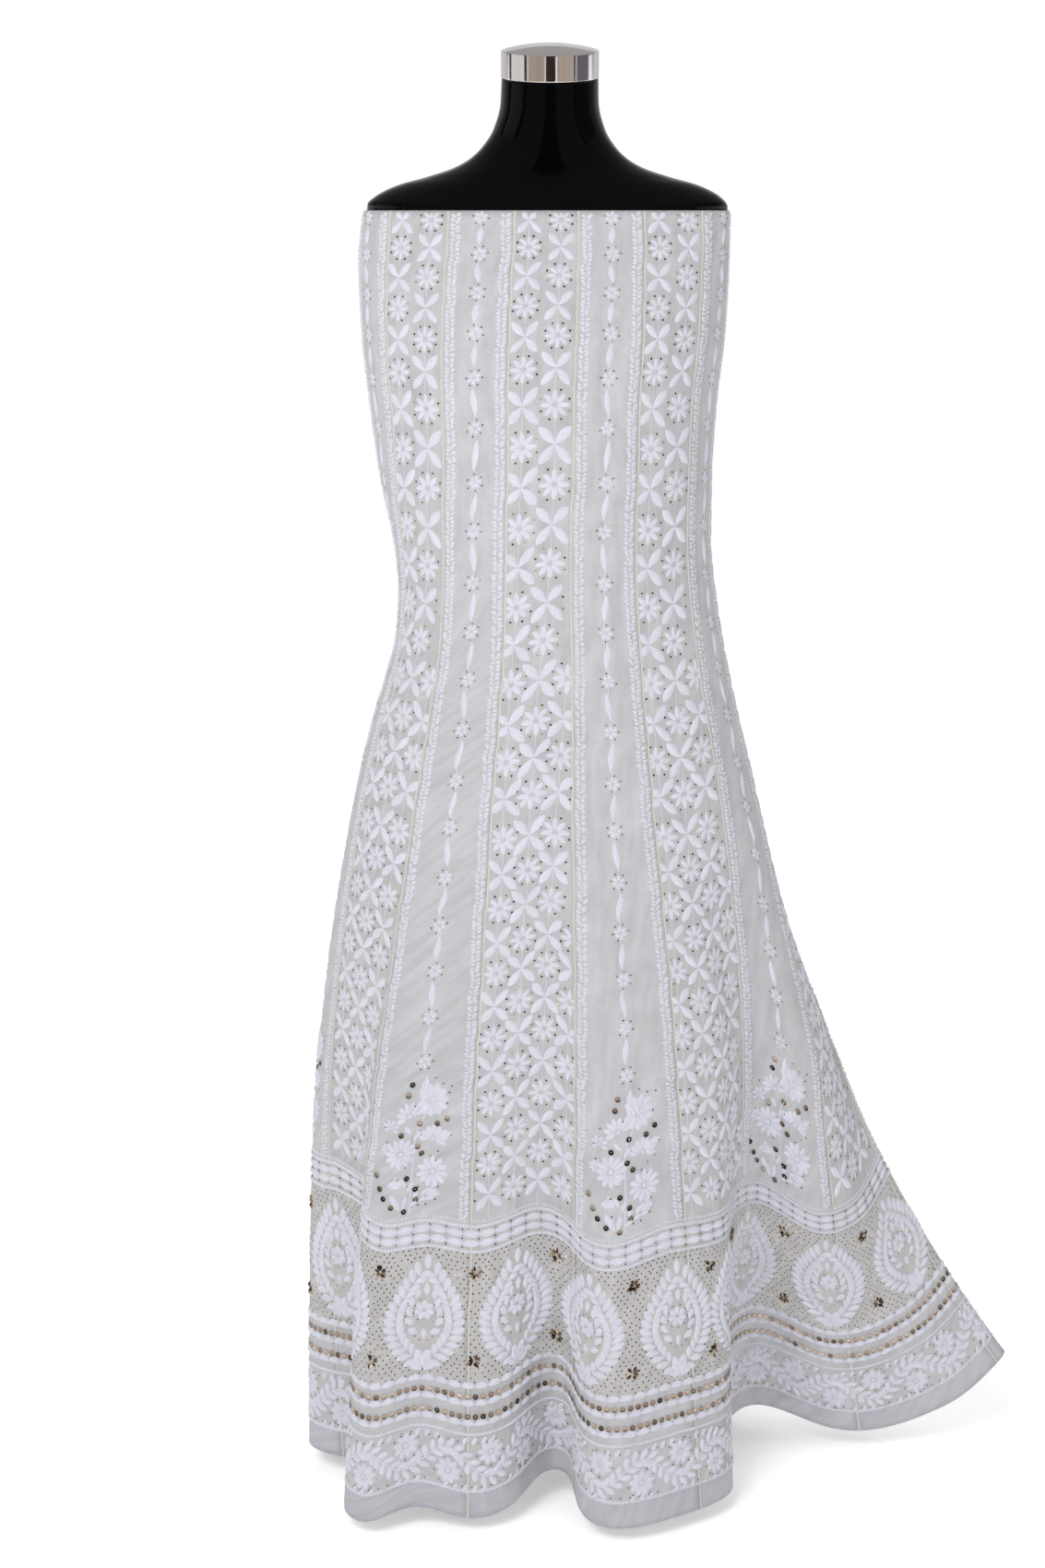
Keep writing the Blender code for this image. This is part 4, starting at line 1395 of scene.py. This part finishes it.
def build_cap(material):
    """Polished cap: an upright band, rounded below and above, under a parabolic dome."""
    low_fillet, top_fillet = 0.8 * MM, 1.2 * MM
    profile = [(CAP_RADIUS - low_fillet, 0)] + rounded_edge(CAP_RADIUS, 0, low_fillet, False)[1:]
    profile += [(CAP_RADIUS, height) for height in (1.4 * MM, CAP_BAND / 2, CAP_BAND - 1.8 * MM)]
    profile += rounded_edge(CAP_RADIUS, CAP_BAND, top_fillet, True)
    for r in (CAP_RADIUS - top_fillet) * np.linspace(0.96, 0.04, 16):
        profile.append((r, CAP_BAND + CAP_DOME * (1 - (r / CAP_RADIUS) ** 2)))
    points, faces = turned(profile, (NECK_SIDE, NECK_CENTRE_Y, TOP_EDGE_Z + NECK_TOP_RISE + SEAT_GAP), CAP_TILT)
    piece = add_piece("neck_cap", points, faces, material)
    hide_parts("form_neck_cap")


def build_stand(material):
    """Pole with its flange under the form, and the round base plate."""
    pole_top = TOP_EDGE_Z - FORM_BOTTOM_DROP - SEAT_GAP
    flange_bottom = pole_top - FLANGE_THICKNESS
    pole = [(POLE_RADIUS, BASE_THICKNESS + SEAT_GAP), (POLE_RADIUS, flange_bottom - 1 * MM)]
    pole += rounded_edge(FLANGE_RADIUS, flange_bottom, 1 * MM, False)
    pole += rounded_edge(FLANGE_RADIUS, pole_top, 1 * MM, True)
    base = [(BASE_RADIUS, 0.0)] + rounded_edge(BASE_RADIUS, BASE_THICKNESS, 4 * MM, True)
    for name, profile, node_name in (("pole", pole, "stand_pole"), ("base_plate", base, "stand_base")):
        points, faces = turned(profile, (0, STAND_Y, 0))
        piece = add_piece(name, points, faces, material)
        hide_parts(node_name)


# Studio


def area_light(name, place, aim, size, power):
    """Rectangular light that isn't seen in reflections."""
    data = bpy.data.lights.new(name, "AREA")
    data.shape = "RECTANGLE"
    data.size, data.size_y = size
    data.energy = power
    light = add_object(name, data)
    light.location = place
    light.rotation_euler = (Vector(aim) - Vector(place)).to_track_quat("-Z", "Y").to_euler()
    light.visible_glossy = False


# Cards round the form, seen only in reflections: angle from the front and half width in degrees, and glow
Card = namedtuple("Card", "name azimuth half_angle glow")
CARDS = [
    Card("dark_middle", 1, 12, (0.030, 0.022, 0.020)),
    Card("tan_left", -34, 21, (0.40, 0.34, 0.29)),
    Card("line_left", -61, 4, (0.020, 0.016, 0.016)),
    Card("pale_left", -85, 18, (0.74, 0.72, 0.72)),
    Card("line_far_left", -108, 4, (0.030, 0.024, 0.024)),
    Card("tan_right", 36, 20, (0.42, 0.37, 0.31)),
    Card("line_right", 60, 3, (0.020, 0.016, 0.016)),
    Card("violet_right", 84, 19, (0.15, 0.13, 0.16)),
    Card("pale_back", 180, 55, (0.64, 0.62, 0.64)),
]
CARD_DISTANCE = 3.4
CARD_BOTTOM, CARD_TOP = 0.05, 3.2


def build_cards():
    """Cards, seen only in reflections, that draw the bands on the polished cap."""
    grain = grain_group()
    for card in CARDS:
        material, tree, shader = new_material(card.name)
        tone = node(tree, "Group", node_tree=grain).outputs[0]
        feed(tree, shader, {
            "Emission Color": shade(tree, card.glow, tone),
            "Emission Strength": 1.0,
            "Base Color": (0, 0, 0, 1),
            "Roughness": 1.0,
            "Specular IOR Level": 0.0,
        })
        angle = radians(card.azimuth)
        middle = np.array([sin(angle), -cos(angle)]) * CARD_DISTANCE
        side = np.array([cos(angle), sin(angle)]) * CARD_DISTANCE * np.tan(radians(card.half_angle))
        ends = ((-1, CARD_BOTTOM), (1, CARD_BOTTOM), (1, CARD_TOP), (-1, CARD_TOP))
        plane = add_stage_plane(card.name, [(*(middle + side * s), z) for s, z in ends], material)
        plane.visible_camera = plane.visible_diffuse = plane.visible_shadow = False


SURROUND_GLOW = 0.37
FLOOR_REACH = 40.0


def build_studio():
    """White floor fading into a white surround, a large soft light from the front left and two weaker ones."""
    scene = bpy.context.scene
    scene.view_settings.view_transform = "Standard"
    scene.world = bpy.data.worlds.new("studio_surround")
    scene.world.use_nodes = True
    tree = scene.world.node_tree
    seen = node(tree, "LightPath").outputs["Is Camera Ray"]
    glow = scaled(tree, seen, 1 - SURROUND_GLOW, SURROUND_GLOW)
    feed(tree, tree.nodes["Background"], {"Strength": glow, "Color": (1, 1, 1, 1)})
    area_light("key", (-1.5, -3.0, 3.6), (0, 0, 0.8), (1.8, 1.8), 115)
    area_light("fill", (3.2, -2.2, 1.8), (0, 0, 0.7), (2.6, 3.0), 24)
    area_light("back", (0.6, 3.0, 2.8), (0, 0, 0.9), (2.4, 2.0), 40)
    material, tree, shader = new_material("pale_floor")
    place = object_place(tree)
    tone = scaled(tree, noise(tree, place, 6.0, 3.0), 0.02, 0.99)
    fade = {0: length_of(tree, place), 1: 0.7, 2: 5.0, 3: 0.42, 4: 0.66}
    feed(tree, shader, {
        "Base Color": shade(tree, (0.93, 0.93, 0.93), tone),
        "Emission Strength": node(tree, "MapRange", fade, interpolation_type="SMOOTHSTEP").outputs[0],
        "Emission Color": (1, 1, 1, 1),
        "Roughness": 0.9,
        "Specular IOR Level": 0.1,
    })
    corners = [(x * FLOOR_REACH, y * FLOOR_REACH, 0) for x, y in ((-1, -1), (1, -1), (1, 1), (-1, 1))]
    add_stage_plane("floor", corners, material)


def build_camera():
    """The photograph's camera, level with the top edge and tipped down by its pitch."""
    data = bpy.data.cameras.new("camera")
    data.lens = CAMERA_LENS
    data.sensor_width = 36
    camera = add_object("camera", data)
    camera.location = CAMERA_PLACE
    camera.rotation_euler = (pi / 2 - CAMERA_PITCH, 0, 0)
    bpy.context.scene.camera = camera


# Colours of metal by the shape's lot number, from 0 to 1; the bronze and flat dots' pale top stops are painted
# glints
SEQUIN_RIM = 2.0 * MM
GOLD = [
    (0.0, (0.045, 0.030, 0.020)), (0.18, (0.26, 0.17, 0.10)),
    (0.5, (0.46, 0.33, 0.23)), (1.0, (0.76, 0.61, 0.47)),
]
DARK_GOLD = [
    (0.0, (0.012, 0.008, 0.006)), (0.45, (0.06, 0.035, 0.022)),
    (0.8, (0.22, 0.14, 0.09)), (1.0, (0.55, 0.42, 0.30)),
]
# Dark brown to gold bronze; its near-white top stop is a painted glint on a few dots
BRONZE_AND_GLINTS = [
    (0.0, (0.024, 0.014, 0.007)), (0.55, (0.115, 0.066, 0.032)),
    (0.82, (0.38, 0.25, 0.12)), (1.0, (0.92, 0.82, 0.62)),
]
# Dark flat metal; its near-white top stop is a painted glint on a few dots
MUKAISH_AND_GLINTS = [
    (0.0, (0.020, 0.014, 0.012)), (0.6, (0.080, 0.055, 0.040)),
    (0.88, (0.22, 0.16, 0.11)), (1.0, (0.92, 0.84, 0.72)),
]


def main():
    """Materials first, then the pieces from the cloth outwards, the studio and the camera."""
    stitch, foil = thread_group(), foil_group()
    white = thread_material("white_thread", (0.745, 0.745, 0.840), stitch)
    rope = thread_material("rope_thread", (0.745, 0.745, 0.820), stitch, per_metre=330.0, slant=1.3, depth=0.5)
    cream = thread_material("cream_piping", (0.68, 0.665, 0.61), stitch)
    gold = metal_material("gold_sequin", foil, GOLD, 0.3, SEQUIN_RIM)
    dark = metal_material("dark_sequin", foil, DARK_GOLD, 0.2, SEQUIN_RIM)
    bronze = metal_material("bronze_dot", foil, BRONZE_AND_GLINTS, 0.25)
    mukaish = metal_material("flat_metal_dot", foil, MUKAISH_AND_GLINTS, 0.3)
    build_cloth()
    build_jaal(white, bronze)
    build_vines(white, bronze)
    build_braids(rope)
    build_piping(cream)
    build_border_rows(white, rope, bronze)
    build_sequins(gold, bronze)
    build_medallions(white, bronze)
    build_mukaish(mukaish)
    build_flower_band(white, bronze)
    build_bouquets(white, dark, bronze)
    build_form(gloss_black_material())
    build_cap(polished_material("polished_chrome", (0.80, 0.77, 0.75), 0.04, 3.0))
    build_stand(polished_material("brushed_steel", (0.56, 0.56, 0.57), 0.28, 60.0))
    build_cards()
    build_studio()
    build_camera()


main()
